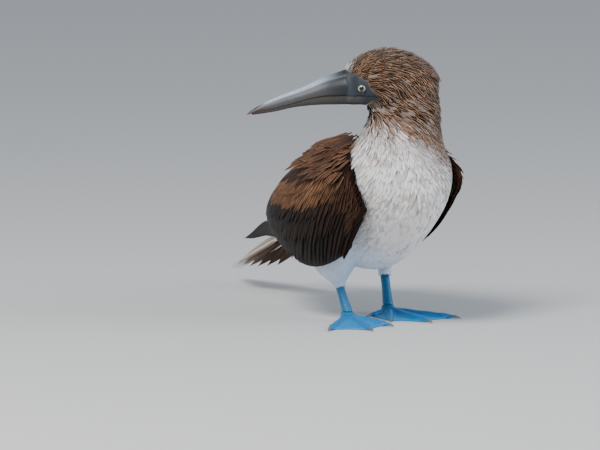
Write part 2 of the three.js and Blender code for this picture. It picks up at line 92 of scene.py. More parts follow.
def add_node(tree, kind, values=None, **settings):
    """A node of a kind, with its settings, and with values on its named or numbered inputs."""
    node = tree.nodes.new("ShaderNode" + kind)
    for setting, value in settings.items():
        setattr(node, setting, value)
    for socket, value in (values or {}).items():
        node.inputs[socket].default_value = value
    return node


def mesh_object(name, bm, material):
    mesh = bpy.data.meshes.new(name)
    bm.to_mesh(mesh)
    bm.free()
    mesh.materials.append(material)
    mesh.polygons.foreach_set("use_smooth", [True] * len(mesh.polygons))
    piece = bpy.data.objects.new(name, mesh)
    bpy.context.collection.objects.link(piece)
    return piece


floor_material, _, _ = surface_material("pale_floor", (0.60, 0.60, 0.59), 0.9)
floor_mesh = bmesh.new()
bmesh.ops.create_grid(floor_mesh, x_segments=1, y_segments=1, size=30)
floor = mesh_object("floor", floor_mesh, floor_material)

world = bpy.data.worlds.new("studio")
world.use_nodes = True
world.node_tree.nodes["Background"].inputs["Color"].default_value = (0.80, 0.88, 1.0, 1)
world.node_tree.nodes["Background"].inputs["Strength"].default_value = 0.55
bpy.context.scene.world = world


def soft_light(name, place, size, watts, colour):
    data = bpy.data.lights.new(name, "AREA")
    data.shape = "DISK"
    data.size = size
    data.energy = watts
    data.color = colour
    light = bpy.data.objects.new(name, data)
    bpy.context.collection.objects.link(light)
    light.location = place
    aim = Vector(ANKLES) + Vector((0, 0, 0.15)) - Vector(place)
    light.rotation_euler = aim.to_track_quat("-Z", "Y").to_euler()


soft_light("key", (-1.5, -1.3, 2.1), 1.1, 82, (1.0, 0.97, 0.93))
soft_light("fill", (1.9, -1.6, 1.0), 1.6, 34, (0.86, 0.93, 1.0))


# The form of the body: one smooth hide from the rump over the back and up the neck to the bill.
# Rows hold [yaw, sway, back forward, back height, front forward, front height, half width, egg] in mm,
# with forward from the neck's upright axis the way that the row faces, and egg narrowing the breast.
# All heights on the body are given for a bird that stands BODY_UP mm lower on its legs.
NECK_AXIS_Y = -78
HEAD_YAW = 102
NECK_SWAY = 5
BODY_UP = 6
HIDE_ROWS = np.array([
    [0, 0, -226, 95, -221, 83, 9, -0.08],
    [0, 0, -210, 109, -200, 71, 20, -0.08],
    [0, 0, -182, 127, -170, 59, 34, -0.08],
    [0, 0, -145, 144, -132, 51, 46, -0.08],
    [0, 0, -105, 157, -94, 46, 55, -0.04],
    [0, 0, -72, 167, -56.1, 46.1, 52.8, 0.06],
    [0, 0, -52, 175, -15.8, 60.3, 50.8, 0.16],
    [0, 0, -44, 180, 20.2, 81.3, 50.6, 0.18],
    [0, 0, -40, 185, 45.2, 104.8, 51.5, 0.16],
    [0, 1, -38, 190, 55.4, 129.9, 47.8, 0.13],
    [4, 2, -37, 197, 50, 156, 40.2, 0.14],
    [20, 3, -36, 205, 42.1, 183, 35.8, 0.16],
    [50, 4, -35, 214, 36, 202.3, 33.1, 0.06],
    [80, 5, -33, 227, 36, 211, 31, -0.05],
    [HEAD_YAW, NECK_SWAY, -32, 243, 37, 214, 29, -0.08],
    [HEAD_YAW, NECK_SWAY, -22, 256.5, 39, 216, 29, -0.08],
    [HEAD_YAW, NECK_SWAY, -5, 266.5, 42, 216.5, 29, -0.08],
    [HEAD_YAW, NECK_SWAY, 17, 271.8, 46, 217, 28, -0.08],
    [HEAD_YAW, NECK_SWAY, 38, 268.6, 50, 217, 24, -0.08],
    [HEAD_YAW, NECK_SWAY, 53, 260.5, 55, 217, 19, -0.08],
    [HEAD_YAW, NECK_SWAY, 62, 252.5, 60, 217, 14, -0.08],
], dtype=float)
LAST_ROW = len(HIDE_ROWS) - 1


def smooth_rows(rows, at, knots=None):
    """The rows' values on a smooth curve through them, for each place in at."""
    knots = np.arange(len(rows), dtype=float) if knots is None else knots
    at = np.clip(at, knots[0], knots[-1])
    k = np.clip(np.searchsorted(knots, at, side="left") - 1, 0, len(rows) - 2)
    before = np.maximum(np.arange(len(rows)) - 1, 0)
    after = np.minimum(np.arange(len(rows)) + 1, len(rows) - 1)
    slopes = (rows[after] - rows[before]) / (knots[after] - knots[before])[:, None]
    span = (knots[k + 1] - knots[k])[..., None]
    t = (at - knots[k])[..., None] / span
    return ((2 * t ** 3 - 3 * t ** 2 + 1) * rows[k] + (t ** 3 - 2 * t ** 2 + t) * slopes[k] * span
            + (3 * t ** 2 - 2 * t ** 3) * rows[k + 1] + (t ** 3 - t ** 2) * slopes[k + 1] * span)


def faced(yaw, sway, forward, left, height):
    """A point given forward of the neck's axis and to the left, in mm, as a place in the frame."""
    turn = np.radians(yaw)
    x = sway - forward * np.sin(turn) + left * np.cos(turn)
    y = NECK_AXIS_Y - forward * np.cos(turn) - left * np.sin(turn)
    return np.stack(np.broadcast_arrays(x, y, height + BODY_UP), axis=-1) * MM + ANKLES


def head_coordinates(points):
    """Forward, left and height of places in the frame, in mm, as the head faces."""
    turn = math.radians(HEAD_YAW)
    x, y, z = np.moveaxis((points - ANKLES) / MM, -1, 0)
    x = x - NECK_SWAY
    y = NECK_AXIS_Y - y
    return -x * math.sin(turn) + y * math.cos(turn), x * math.cos(turn) + y * math.sin(turn), z - BODY_UP


def hide_point(row, angle):
    """A place on the hide: row runs from rump to bill, angle is 0 along the back."""
    columns = np.moveaxis(smooth_rows(HIDE_ROWS, row), -1, 0)
    yaw, sway, back_f, back_z, front_f, front_z, half_width, egg = columns
    mid_f, mid_z = (back_f + front_f) / 2, (back_z + front_z) / 2
    reach = np.cos(angle)
    left = half_width * np.sin(angle) * (1 + egg * np.cos(angle))
    return faced(yaw, sway, mid_f + (back_f - mid_f) * reach, left, mid_z + (back_z - mid_z) * reach)


def unit(vectors):
    return vectors / np.maximum(np.linalg.norm(vectors, axis=-1, keepdims=True), 1e-12)


def hide_frame(row, angle):
    """Place, way towards the tail, way round, way out, and metres per row and per radian there."""
    row = np.clip(row, 0.02, LAST_ROW - 0.02)
    per_row = (hide_point(row + 0.01, angle) - hide_point(row - 0.01, angle)) / 0.02
    per_angle = (hide_point(row, angle + 0.01) - hide_point(row, angle - 0.01)) / 0.02
    out = unit(np.cross(per_row, per_angle))
    return (hide_point(row, angle), unit(-per_row), unit(np.cross(out, -per_row)), out,
            np.linalg.norm(per_row, axis=-1), np.linalg.norm(per_angle, axis=-1))


# The markings. Each place on the body has the colour of the plume's web and of its middle streak,
# and the skin under the plumes is painted with the same two, darkened as painted shade, so that no gap shows
# pale.
def srgb(red, green, blue):
    return np.array([((c / 255 + 0.055) / 1.055) ** 2.4 if c > 10 else c / 3295 for c in (red, green, blue)])


WHITE = srgb(236, 233, 232)
FOREHEAD_WHITE = srgb(236, 230, 224)
BUFF = srgb(204, 170, 140)
RUFOUS = srgb(126, 86, 60)
HEAD_STREAK = srgb(36, 23, 17)
NECK_STREAK = srgb(98, 76, 62)
# A bluish grey white: painted shade on the underside of the body and on the thighs.
SHADED_BLUISH_WHITE = srgb(212, 226, 242)
BACK_BROWN = srgb(74, 52, 40)
BACK_EDGE = srgb(150, 124, 102)
MOTTLE_GREY = srgb(150, 140, 138)
FACE_SLATE = srgb(34, 44, 54)
SHANK_TEAL = srgb(8, 112, 150)
JAW_OLIVE = srgb(96, 88, 76)
# Forward of this line, as height and forward in the head's own mm, the face is bare skin.
FACE_EDGE = np.array([[205, 41], [219, 40.5], [222, 38], [226.6, 31], [230.6, 36.5], [234.6, 41],
                      [242, 44], [245, 49], [249.7, 57.5], [253.8, 63], [262, 80]])


def bare_by(points):
    """How far, in mm, a place is forward of the edge of the feathers."""
    forward, _, height = head_coordinates(points)
    return forward - np.interp(height, FACE_EDGE[:, 0], FACE_EDGE[:, 1])


def mixed(first, second, share):
    return first + (second - first) * np.clip(share, 0, 1)[..., None]


def smooth_step(low, high, value):
    t = np.clip((value - low) / (high - low), 0, 1)
    return t * t * (3 - 2 * t)


def body_markings(row, angle, points, draw):
    """Web colour and streak colour at places on the body; draw is a number 0 to 1 for each plume."""
    forward, left, height = head_coordinates(points)
    _, _, z = np.moveaxis((points - ANKLES) / MM, -1, 0)
    front = np.abs(angle) / math.pi
    reach = row + 2.6 * (0.42 - front) + 0.9 * np.sin(angle)
    brown = smooth_step(-0.3, 0.3, smooth_step(9.3, 12.4, reach) - 0.75 * draw)
    web = mixed(WHITE, mixed(BUFF, RUFOUS, 0.35 + 0.65 * np.abs(2 * draw - 1)), brown)
    streak = mixed(web * 0.97, NECK_STREAK, smooth_step(8.6, 10.8, reach) * smooth_step(0.2, 0.5, draw))
    streak = mixed(streak, HEAD_STREAK, smooth_step(10.2, 12.2, reach))
    pale = smooth_step(60, 69, forward + 0.45 * (height - 240)) * (row > 14) * (height > 232)
    web = mixed(web, FOREHEAD_WHITE, pale)
    streak = mixed(streak, FOREHEAD_WHITE * 0.9, smooth_step(0.35, 1.0, pale))
    throat = smooth_step(0.72, 0.9, front) * smooth_step(13, 14.5, row)
    web = mixed(web, mixed(BUFF, WHITE, 0.4), throat * 0.7)
    streak = mixed(streak, NECK_STREAK, throat * 0.6)
    back = (1 - smooth_step(9.2, 10.6, row)) * (1 - smooth_step(0.3, 0.42, front))
    rump = 1 - smooth_step(2.0, 3.6, row + draw)
    nape_patch = smooth_step(8.6, 9.4, row) * (1 - smooth_step(9.9, 10.7, row + 0.4 * draw)) * (front < 0.2)
    web = mixed(web, BACK_EDGE, back * (1 - rump) * (1 - nape_patch))
    streak = mixed(streak, BACK_BROWN, back * (1 - rump) * (1 - nape_patch))
    # Lower breast and belly turn bluish grey white: painted shade on the underside.
    underside_shade = smooth_step(0.5, 0.8, front) * (1 - smooth_step(4.5, 8, row))
    web, streak = mixed(web, SHADED_BLUISH_WHITE, underside_shade), mixed(streak, SHADED_BLUISH_WHITE, underside_shade)
    x = (points[:, 0] - ANKLES[0]) / MM
    blotch = np.sin(0.21 * x + 1.7 * np.sin(0.13 * z + 1)) * np.sin(0.27 * z + 1.3 * np.sin(0.17 * x))
    mottle = smooth_step(0.35, 0.9, blotch) * smooth_step(8.0, 8.8, row) * (front > 0.45)
    web = mixed(web, MOTTLE_GREY, mottle * 0.35 * (1 - brown))
    return web, mixed(streak, MOTTLE_GREY, mottle * 0.6)


# The skin under the plumage: one closed surface in place of the solids of head, neck, trunk and
# thighs, sunk by the depth of the plumes, with the bare dark slate face at its front.
PLUME_DEPTH = 1.6
THIGH_END = 4
FOOT_OUT, FOOT_STAGGER, SOCK_OUT, SOCK_BACK, SOCK_HEIGHT = 30, 17, 3, 15, 31 + BODY_UP


def thigh_rows(side):
    sock_x, sock_y = side * (FOOT_OUT + SOCK_OUT), side * FOOT_STAGGER + SOCK_BACK
    if side > 0:
        return np.array([
            [sock_x - 9, sock_y - 16, 84, 20, 30],
            [sock_x - 7, sock_y - 9, 66, 16, 22],
            [sock_x - 3, sock_y - 3, 53, 9, 12],
            [sock_x - 0.5, sock_y - 0.5, 45, 5.6, 6.4],
            [sock_x, sock_y, SOCK_HEIGHT, 5.2, 6.0],
        ])
    return np.array([
        [sock_x + 7, sock_y - 2, 84, 25, 42],
        [sock_x + 2, sock_y + 8, 66, 21, 36],
        [sock_x - 1, sock_y + 10, 50, 15, 27],
        [sock_x - 0.5, sock_y + 4, 41, 8.5, 13],
        [sock_x, sock_y, SOCK_HEIGHT, 5.8, 7],
    ])


def thigh_point(side, step, angle, grow=0.0):
    x, y, z, half_width, half_depth = np.moveaxis(smooth_rows(thigh_rows(side), step), -1, 0)
    x = x + (half_width + grow) * np.sin(angle)
    y = y + (half_depth + grow) * np.cos(angle)
    return np.stack([x, y, z], -1) * MM + ANKLES


def loft(bm, along, around, place, bake):
    """A closed form: a grid bent to place(along, around), welded at its seam, with its ends filled."""
    layer = bm.loops.layers.uv.get("OFBake") or bm.loops.layers.uv.new("OFBake")
    old_faces = set(bm.faces)
    made = bmesh.ops.create_grid(bm, x_segments=along, y_segments=around, size=0.5)["verts"]
    shares = np.array([v.co[:2] for v in made]) + 0.5
    for face in set(bm.faces) - old_faces:
        for loop in face.loops:
            u, v = loop.vert.co.x + 0.5, loop.vert.co.y + 0.5
            loop[layer].uv = (bake[0] + u * bake[2], bake[1] + v * bake[3])
    for vertex, point in zip(made, place(shares[:, 0], shares[:, 1])):
        vertex.co = point
    bmesh.ops.remove_doubles(bm, verts=made, dist=1e-6)
    bmesh.ops.holes_fill(bm, edges=[e for e in bm.edges if e.is_boundary], sides=0)
    bmesh.ops.recalc_face_normals(bm, faces=bm.faces[:])


# The mouth runs back from the bill as [forward, height] of the head, and ends below the eye.
MOUTH_BACK = np.array([[30.5, 225.6], [36, 226.4], [48, 226.9], [66, 227.3]])
MOUTH_HALF, MOUTH_DEPTH = 0.75, 1.0


def mouth_press(points):
    """How strongly the line of the mouth presses the face in there, from 0 to 1."""
    forward, left, height = head_coordinates(points)
    line = np.interp(forward, MOUTH_BACK[:, 0], MOUTH_BACK[:, 1])
    ends = smooth_step(MOUTH_BACK[0, 0], MOUTH_BACK[0, 0] + 4, forward) * (np.abs(left) > 6)
    return np.exp(-((height - line) / MOUTH_HALF) ** 2) * ends


# Rows of the bill are [forward, top, mouth, bottom, half width], and the face runs out into it.
BILL_ROWS = np.array([
    [50, 256.5, 227.4, 217.4, 18.2],
    [56, 253.9, 227.4, 217.4, 15.4],
    [62, 251.7, 227.4, 217.5, 13.2],
    [72, 248.4, 227.2, 217.5, 11.6],
    [83, 245, 227.0, 217.6, 10.6],
    [99, 237.4, 224.3, 217.0, 8.7],
    [114.5, 231.6, 220, 215.4, 7],
    [130, 226.2, 216, 212.2, 5.5],
    [146, 219.2, 212.7, 209.9, 3.7],
    [156, 213.2, 210.4, 208.9, 1.9],
    [160, 209.8, 209.0, 208.6, 0.6],
], dtype=float)


def bill_section(forward, angle):
    _, top, mouth, bottom, half_width = np.moveaxis(smooth_rows(BILL_ROWS, forward, BILL_ROWS[:, 0]), -1, 0)
    over = np.maximum(np.cos(angle), 0) ** 0.85 * (top - mouth)
    below = np.maximum(-np.cos(angle), 0) ** 0.85 * (mouth - bottom)
    return faced(HEAD_YAW, NECK_SWAY, forward, half_width * np.sin(angle), mouth + over - below)


def skin_point(u, v):
    row, angle = u * LAST_ROW, (v * 2 - 1) * math.pi
    points = hide_point(row, angle)
    on_head = row > 13.5
    feathered = 1 - smooth_step(-1.5, 1.0, bare_by(points)) * on_head
    pressed = mouth_press(points) * on_head
    _, _, _, out, _, _ = hide_frame(row, angle)
    points = points - out * ((PLUME_DEPTH * feathered + MOUTH_DEPTH * pressed) * MM)[:, None]
    into_bill = smooth_step(18.7, 19.75, row)[:, None]
    return points + (bill_section(53 + 9 * (row - 19), angle) - points) * into_bill


skin_mesh = bmesh.new()
loft(skin_mesh, 380, 180, skin_point, (0.01, 0.01, 0.78, 0.98))
for side, low in ((1, 0.01), (-1, 0.51)):
    loft(skin_mesh, 24, 40,
         lambda u, v: thigh_point(side, u * THIGH_END, (v * 2 - 1) * math.pi, -PLUME_DEPTH * 0.5),
         (0.8, low, 0.19, 0.48))

skin_material, skin_tree, skin_shader = surface_material("face_and_plumage_skin", (0.5, 0.5, 0.5), 0.62)
links = skin_tree.links
tint = add_node(skin_tree, "Attribute", attribute_name="Tint")
links.new(tint.outputs["Color"], skin_shader.inputs["Base Color"])
coordinates = add_node(skin_tree, "TexCoord")
wrinkles = add_node(skin_tree, "TexNoise", {"Scale": 900, "Detail": 3})
links.new(coordinates.outputs["Object"], wrinkles.inputs["Vector"])
bump = add_node(skin_tree, "Bump", {"Strength": 0.35, "Distance": 0.0006})
links.new(wrinkles.outputs["Fac"], bump.inputs["Height"])
links.new(bump.outputs["Normal"], skin_shader.inputs["Normal"])
skin = mesh_object("plumage_skin", skin_mesh, skin_material)


def paint(piece, name, colours):
    """Gives each vertex of a piece its colour, under an attribute's name."""
    attribute = piece.data.color_attributes.new(name, "FLOAT_COLOR", "POINT")
    flat = np.ones((len(piece.data.vertices), 4))
    flat[:, :3] = colours
    attribute.data.foreach_set("color", flat.ravel())


DENSE = 60000
rng = np.random.default_rng(7)
probe_rows = rng.uniform(0, LAST_ROW, DENSE)
probe_angles = rng.uniform(-math.pi, math.pi, DENSE)
probe_points = hide_point(probe_rows, probe_angles)
probes = kdtree.KDTree(DENSE)
for index, point in enumerate(probe_points):
    probes.insert(point, index)
probes.balance()
skin_points = np.array([v.co for v in skin.data.vertices])
nearest = np.array([probes.find(point)[1] for point in skin_points])
middling = np.full(len(nearest), 0.4)
web, streak = body_markings(probe_rows[nearest], probe_angles[nearest], skin_points, middling)
# The skin takes a mix of web and streak, a fifth darker: painted shade under the plumes.
under = mixed(web, streak, np.full(len(web), 0.6)) * 0.8
bare = smooth_step(-0.6, 0.6, bare_by(skin_points)) * (probe_rows[nearest] > 13.5)
under = mixed(under, FACE_SLATE, bare)
below = skin_points[:, 2] / MM
left_leg = skin_points[:, 0] > ANKLES[0] + 20 * MM
under = mixed(under, SHANK_TEAL, (1 - smooth_step(45, 48, below)) * left_leg)
face_forward, _, face_height = head_coordinates(skin_points)
jaw = smooth_step(219.5, 221.5, face_height) * (1 - smooth_step(225.8, 227.2, face_height))
jaw = jaw * smooth_step(42, 52, face_forward) * bare
under = mixed(under, FACE_SLATE * 0.4 + JAW_OLIVE * 0.6, jaw * 0.8)
# Darker along the line of the mouth: painted shade in its groove.
under = mixed(under, FACE_SLATE * 0.35, mouth_press(skin_points) * bare)
paint(skin, "Tint", under)
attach(skin, "root")
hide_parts("head", "neck", "torso", "left_thigh", "right_thigh")


# The small body plumes: closed, slightly roofed tufts in shingled layers over the whole skin, short
# and pointed on the head, long and soft on breast and belly. They grow from bill to tail.
TUFT_STEPS = 5
BAKE_PATCH = 0.003


STRETCH = 1.8


def scatter(count, draw_place, spacing, seed):
    """Places thrown at random, kept only where no kept one is nearer than the spacing there.

    Along the lie of the plumes they stay STRETCH times as far apart as across it.
    """
    draws = np.random.default_rng(seed)
    places, extras, lies = draw_place(draws, count)
    gaps = spacing(places, extras)
    cell = float(gaps.max()) * STRETCH
    kept, grid = [], {}
    for i, (point, gap, lie) in enumerate(zip(places.tolist(), gaps.tolist(), lies.tolist())):
        key = (int(point[0] // cell), int(point[1] // cell), int(point[2] // cell))
        near = (other for dx in (-1, 0, 1) for dy in (-1, 0, 1) for dz in (-1, 0, 1)
                for other in grid.get((key[0] + dx, key[1] + dy, key[2] + dz), ()))
        free = True
        for other in near:
            x, y, z = other[0] - point[0], other[1] - point[1], other[2] - point[2]
            along = x * lie[0] + y * lie[1] + z * lie[2]
            if x * x + y * y + z * z - along * along * (1 - 1 / STRETCH ** 2) < gap * gap:
                free = False
                break
        if free:
            grid.setdefault(key, []).append(point)
            kept.append(i)
    return np.array(kept), places, extras


def plume_material(name, roughness, sheen, root_shade):
    """Feather web: its tint, a darker streak down the middle, a root darkened as painted shade, and fine
    barbs as bump.
    """
    made, tree, shader = surface_material(name, (0.5, 0.5, 0.5), roughness)
    links = tree.links
    shader.inputs["Specular IOR Level"].default_value = 0.15
    shader.inputs["Sheen Weight"].default_value = sheen
    shader.inputs["Sheen Roughness"].default_value = 0.5
    web = add_node(tree, "Attribute", attribute_name="Tint")
    streak = add_node(tree, "Attribute", attribute_name="Streak")
    lie = add_node(tree, "Attribute", attribute_name="Lie")
    parts = add_node(tree, "SeparateColor")
    links.new(lie.outputs["Color"], parts.inputs["Color"])
    edge = add_node(tree, "MapRange", {"From Min": 0.26, "From Max": 0.48}, interpolation_type="SMOOTHSTEP")
    links.new(parts.outputs["Red"], edge.inputs["Value"])
    tip = add_node(tree, "MapRange", {"From Min": 0.9, "From Max": 1.0, "To Min": 1.0, "To Max": 0.6},
                   interpolation_type="SMOOTHSTEP")
    links.new(parts.outputs["Green"], tip.inputs["Value"])
    middle = add_node(tree, "Math", operation="MULTIPLY")
    links.new(edge.outputs["Result"], middle.inputs[0])
    links.new(tip.outputs["Result"], middle.inputs[1])
    body = add_node(tree, "Mix", data_type="RGBA")
    links.new(middle.outputs["Value"], body.inputs["Factor"])
    links.new(web.outputs["Color"], body.inputs[6])
    links.new(streak.outputs["Color"], body.inputs[7])
    # The root half darkens towards root_shade: painted shade where the plumes overlap.
    root = add_node(tree, "MapRange", {"From Max": 0.5, "To Min": root_shade})
    links.new(parts.outputs["Green"], root.inputs["Value"])
    shaded = add_node(tree, "Mix", {"Factor": 1}, data_type="RGBA", blend_type="MULTIPLY")
    links.new(body.outputs[2], shaded.inputs[6])
    links.new(root.outputs["Result"], shaded.inputs[7])
    links.new(shaded.outputs[2], shader.inputs["Base Color"])
    coordinates = add_node(tree, "TexCoord")
    barbs = add_node(tree, "TexNoise", {"Scale": 1500})
    links.new(coordinates.outputs["Object"], barbs.inputs["Vector"])
    bump = add_node(tree, "Bump", {"Strength": 0.25, "Distance": 0.0003})
    links.new(barbs.outputs["Fac"], bump.inputs["Height"])
    links.new(bump.outputs["Normal"], shader.inputs["Normal"])
    return made


# Cross sections of a plume: how far across, how high for its half width, and how thick below that.
TUFT_RING = (np.array([-1.0, 0.0, 1.0]), np.array([0.0, 0.14, 0.0]), np.array([0.0, 0.0, 0.0]))


def vane_ring(columns, roof):
    """A thin lens: columns across the top, and the inner ones again below it."""
    across = np.linspace(-1, 1, columns)
    across = np.concatenate([across, across[-2:0:-1]])
    under = (np.arange(len(across)) >= columns).astype(float)
    return across, roof * (1 - across ** 2), under


def plumes(name, shafts, outs, sides, widths, profile, rise, ring, web, streak, bake, material,
           thickness=0.0, arc=0.0, ragged=0.0, seed=1, downy=0.0):
    """Joined closed plumes, each swept along its own shaft with the same ring of points round it.

    A downy one is shaded mostly as the body under it is, because light passes through its loose web.
    """
    count, steps = shafts.shape[:2]
    across, roof, under = ring
    points = len(across)
    half = widths[:, None] * profile[None, :]
    heading = unit(np.gradient(shafts, axis=1))
    pulled = arc * across ** 2 * widths[:, None]
    loose = np.random.default_rng(seed).normal(0, 1, (count, points)) * ragged * widths[:, None]
    share = np.linspace(0, 1, steps)
    slip = (-pulled[:, None, :] + loose[:, None, :]) * (share ** 3)[None, :, None]
    corners = (shafts + outs * rise[..., None])[:, :, None, :]
    corners = corners + sides[:, :, None, :] * (across * half[..., None])[..., None]
    high = roof * half[..., None] - under * thickness * (1 - 0.7 * share)[None, :, None]
    corners = corners + outs[:, :, None, :] * high[..., None] + heading[:, :, None, :] * slip[..., None]
    ring_steps = np.arange(steps - 1)[:, None, None] * points
    here = np.arange(points)
    after = (here + 1) % points
    quads = (ring_steps + np.stack([here, here + points, after + points, after], axis=1)[None]).reshape(-1, 4)
    starts = np.arange(count) * steps * points
    faces = (starts[:, None, None] + quads[None]).reshape(-1, 4).tolist()
    last = (steps - 1) * points
    faces += (starts[:, None] + here).tolist() + (starts[:, None] + last + here[::-1]).tolist()
    mesh = bpy.data.meshes.new(name)
    mesh.from_pydata(corners.reshape(-1, 3), [], faces)
    mesh.materials.append(material)
    piece = bpy.data.objects.new(name, mesh)
    bpy.context.collection.objects.link(piece)
    along = np.tile(np.repeat(share, points), count)
    middle = np.tile(1 - np.abs(across), steps * count)
    own = np.repeat(np.random.default_rng(seed + 1).uniform(0, 1, count), steps * points)
    paint(piece, "Tint", np.repeat(web, steps * points, axis=0))
    paint(piece, "Streak", np.repeat(streak, steps * points, axis=0))
    paint(piece, "Lie", np.stack([middle, along, own], axis=1))
    patch = np.repeat(bake, steps * points, axis=0)
    patch = patch + BAKE_PATCH * (np.stack([along, np.tile(across / 2 + 0.5, steps * count)], axis=1) - 0.5)
    corner_vertices = np.empty(len(mesh.loops), dtype=np.int32)
    mesh.loops.foreach_get("vertex_index", corner_vertices)
    layer = mesh.uv_layers.new(name="OFBake")
    layer.data.foreach_set("uv", patch[corner_vertices].ravel())
    mesh.polygons.foreach_set("use_smooth", [True] * len(mesh.polygons))
    if downy > 0:
        own_way = np.empty(len(mesh.vertices) * 3, dtype=np.float32)
        mesh.vertices.foreach_get("normal", own_way)
        body_way = np.repeat(outs.reshape(-1, 3), points, axis=0)
        own_way = own_way.reshape(-1, 3)
        mesh.normals_split_custom_set_from_vertices(unit(own_way * (1 - downy) + body_way * downy))
    return piece


def hide_shafts(rows, angles, lengths, swings, steps):
    """Shafts that start on the hide and follow it towards the tail, turned aside by their swings."""
    shafts, outs, sides = [], [], []
    row, angle = rows.copy(), angles.copy()
    step = lengths / (steps - 1)
    for _ in range(steps):
        point, back, round_way, out, per_row, per_angle = hide_frame(row, angle)
        heading = back * np.cos(swings)[:, None] + round_way * np.sin(swings)[:, None]
        shafts.append(point)
        outs.append(out)
        sides.append(unit(np.cross(out, heading)))
        row = row - step * np.cos(swings) / per_row
        angle = angle - step * np.sin(swings) / np.maximum(per_angle, 0.004)
    return np.stack(shafts, 1), np.stack(outs, 1), np.stack(sides, 1)


# Length, half width and spacing in mm, and how far the tip stands off, for rows from rump to bill.
PLUME_ROWS = np.array([
    [0, 26, 4.4, 3.0, 0.3],
    [6, 24, 4.0, 2.8, 0.25],
    [8.5, 20, 3.0, 2.4, 0.35],
    [9.5, 17, 2.0, 2.1, 0.6],
    [11, 14, 1.6, 2.0, 0.9],
    [13, 12.5, 1.5, 2.05, 1.3],
    [16, 11, 1.4, 1.95, 1.2],
    [18, 8, 1.1, 1.5, 0.8],
    [20, 4.0, 0.8, 1.0, 0.4],
])


def plume_sizes(row):
    return np.moveaxis(smooth_rows(PLUME_ROWS[:, 1:], row, PLUME_ROWS[:, 0]), -1, 0)


def hide_draw(draws, count):
    rows = draws.uniform(0.15, LAST_ROW - 0.1, count * 3)
    angles = draws.uniform(-math.pi, math.pi, count * 3)
    _, _, _, _, per_row, per_angle = hide_frame(rows, angles)
    density = per_row * per_angle / (plume_sizes(rows)[2] * MM) ** 2
    chosen = draws.uniform(0, 1, count * 3) < density / np.quantile(density, 0.995)
    chosen = np.flatnonzero(chosen)[:count]
    rows, angles = rows[chosen], angles[chosen]
    place, lie, _, _, _, _ = hide_frame(rows, angles)
    return place, np.stack([rows, angles], axis=1), lie


THROWS = 110000
kept, places, extras = scatter(THROWS, hide_draw, lambda p, e: plume_sizes(e[:, 0])[2] * MM, 11)
rows, angles, roots = extras[kept, 0], extras[kept, 1], places[kept]
feathered = (bare_by(roots) < 0) | (rows < 13.5)
rows, angles, roots = rows[feathered], angles[feathered], roots[feathered]
draws = np.random.default_rng(12)
lengths, half_widths, _, tips = plume_sizes(rows)
count = len(rows)
lengths = lengths * draws.uniform(0.85, 1.2, count) * MM
half_widths = half_widths * draws.uniform(0.85, 1.15, count) * MM
swings = draws.normal(0, 0.13, count)
shafts, outs, sides = hide_shafts(rows, angles, lengths, swings, TUFT_STEPS)
tuft_profile = np.array([0.55, 1.0, 1.0, 0.78, 0.08])
share = np.linspace(0, 1, TUFT_STEPS)
on_head = smooth_step(10, 12.5, rows)
base = draws.uniform(-0.06, 0.06, count) * (1 + 9 * on_head)
standing = draws.normal(1, 0.15 + 0.35 * on_head, count)
base = base + 0.6 * on_head
sunk = PLUME_DEPTH * (1 - share) ** 1.5 * 1.1
rise = (base[:, None] - sunk + (tips * standing)[:, None] * share ** 1.3) * MM
web, streak = body_markings(rows, angles, roots, draws.uniform(0, 1, count))
tone = np.clip(draws.normal(1, 0.03 + 0.25 * on_head, count), 0.45, 1.5)[:, None]
bake = np.stack([0.01 + rows / LAST_ROW * 0.78, 0.01 + (angles / math.pi + 1) * 0.49], axis=1)
# Body plume roots are darkened to 0.8 as painted shade.
body_plume = plume_material("body_plume", 0.85, 0.15, 0.8)
MOST_TUFTS = 7000
order = np.argsort(rows, kind="stable")
for number, start in enumerate(range(0, count, MOST_TUFTS)):
    pick = order[start:start + MOST_TUFTS]
    coat = plumes(f"body_plumes_{number + 1}", shafts[pick], outs[pick], sides[pick], half_widths[pick],
                  tuft_profile, rise[pick], TUFT_RING, web[pick] * tone[pick], streak[pick] * tone[pick],
                  bake[pick], body_plume, downy=0.6)
    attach(coat, "root")


def thigh_shafts(side, step, angle, lengths, steps):
    """Shafts that start on a thigh and run down it, the last ones hanging over the top of the shank."""
    shafts, outs, sides = [], [], []
    for _ in range(steps):
        on = np.minimum(step, THIGH_END - 0.05)
        point = thigh_point(side, on, angle)
        down = (thigh_point(side, on + 0.04, angle) - point) / 0.04
        per_step = np.linalg.norm(down, axis=1)
        round_way = thigh_point(side, on, angle + 0.05) - point
        out = unit(np.cross(round_way, down))
        shafts.append(point + unit(down) * (np.maximum(step - on, 0) * per_step)[:, None])
        outs.append(out)
        sides.append(unit(np.cross(out, down)))
        step = step + lengths / (steps - 1) / per_step
    return np.stack(shafts, 1), np.stack(outs, 1), np.stack(sides, 1)


THIGH_PLUMES = 1500
for side, name, last in ((1, "left", 2.45), (-1, "right", 3.75)):
    draws = np.random.default_rng(20 + side)
    step = np.sort(draws.uniform(0, last, THIGH_PLUMES))
    angle = draws.uniform(-math.pi, math.pi, THIGH_PLUMES)
    slim = smooth_step(1.5, 4, step)
    shafts, outs, sides = thigh_shafts(side, step, angle, (15 - 8 * slim) * MM, TUFT_STEPS)
    rise = (draws.uniform(-0.1, 0.1, (THIGH_PLUMES, 1)) + 0.9 * share ** 1.3) * MM
    # The thighs are bluish grey white all over: painted shade under the body.
    white = SHADED_BLUISH_WHITE * draws.normal(1, 0.03, (THIGH_PLUMES, 1))
    bake = np.stack([0.02 + 0.22 * step, 0.02 + 0.15 * (angle + math.pi)], axis=1)
    coat = plumes(f"{name}_thigh_plumes", shafts, outs, sides, (3.2 - 1.7 * slim) * MM, tuft_profile, rise,
                  TUFT_RING, white, white * 0.97, bake, body_plume, downy=0.6)
    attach(coat, "root")
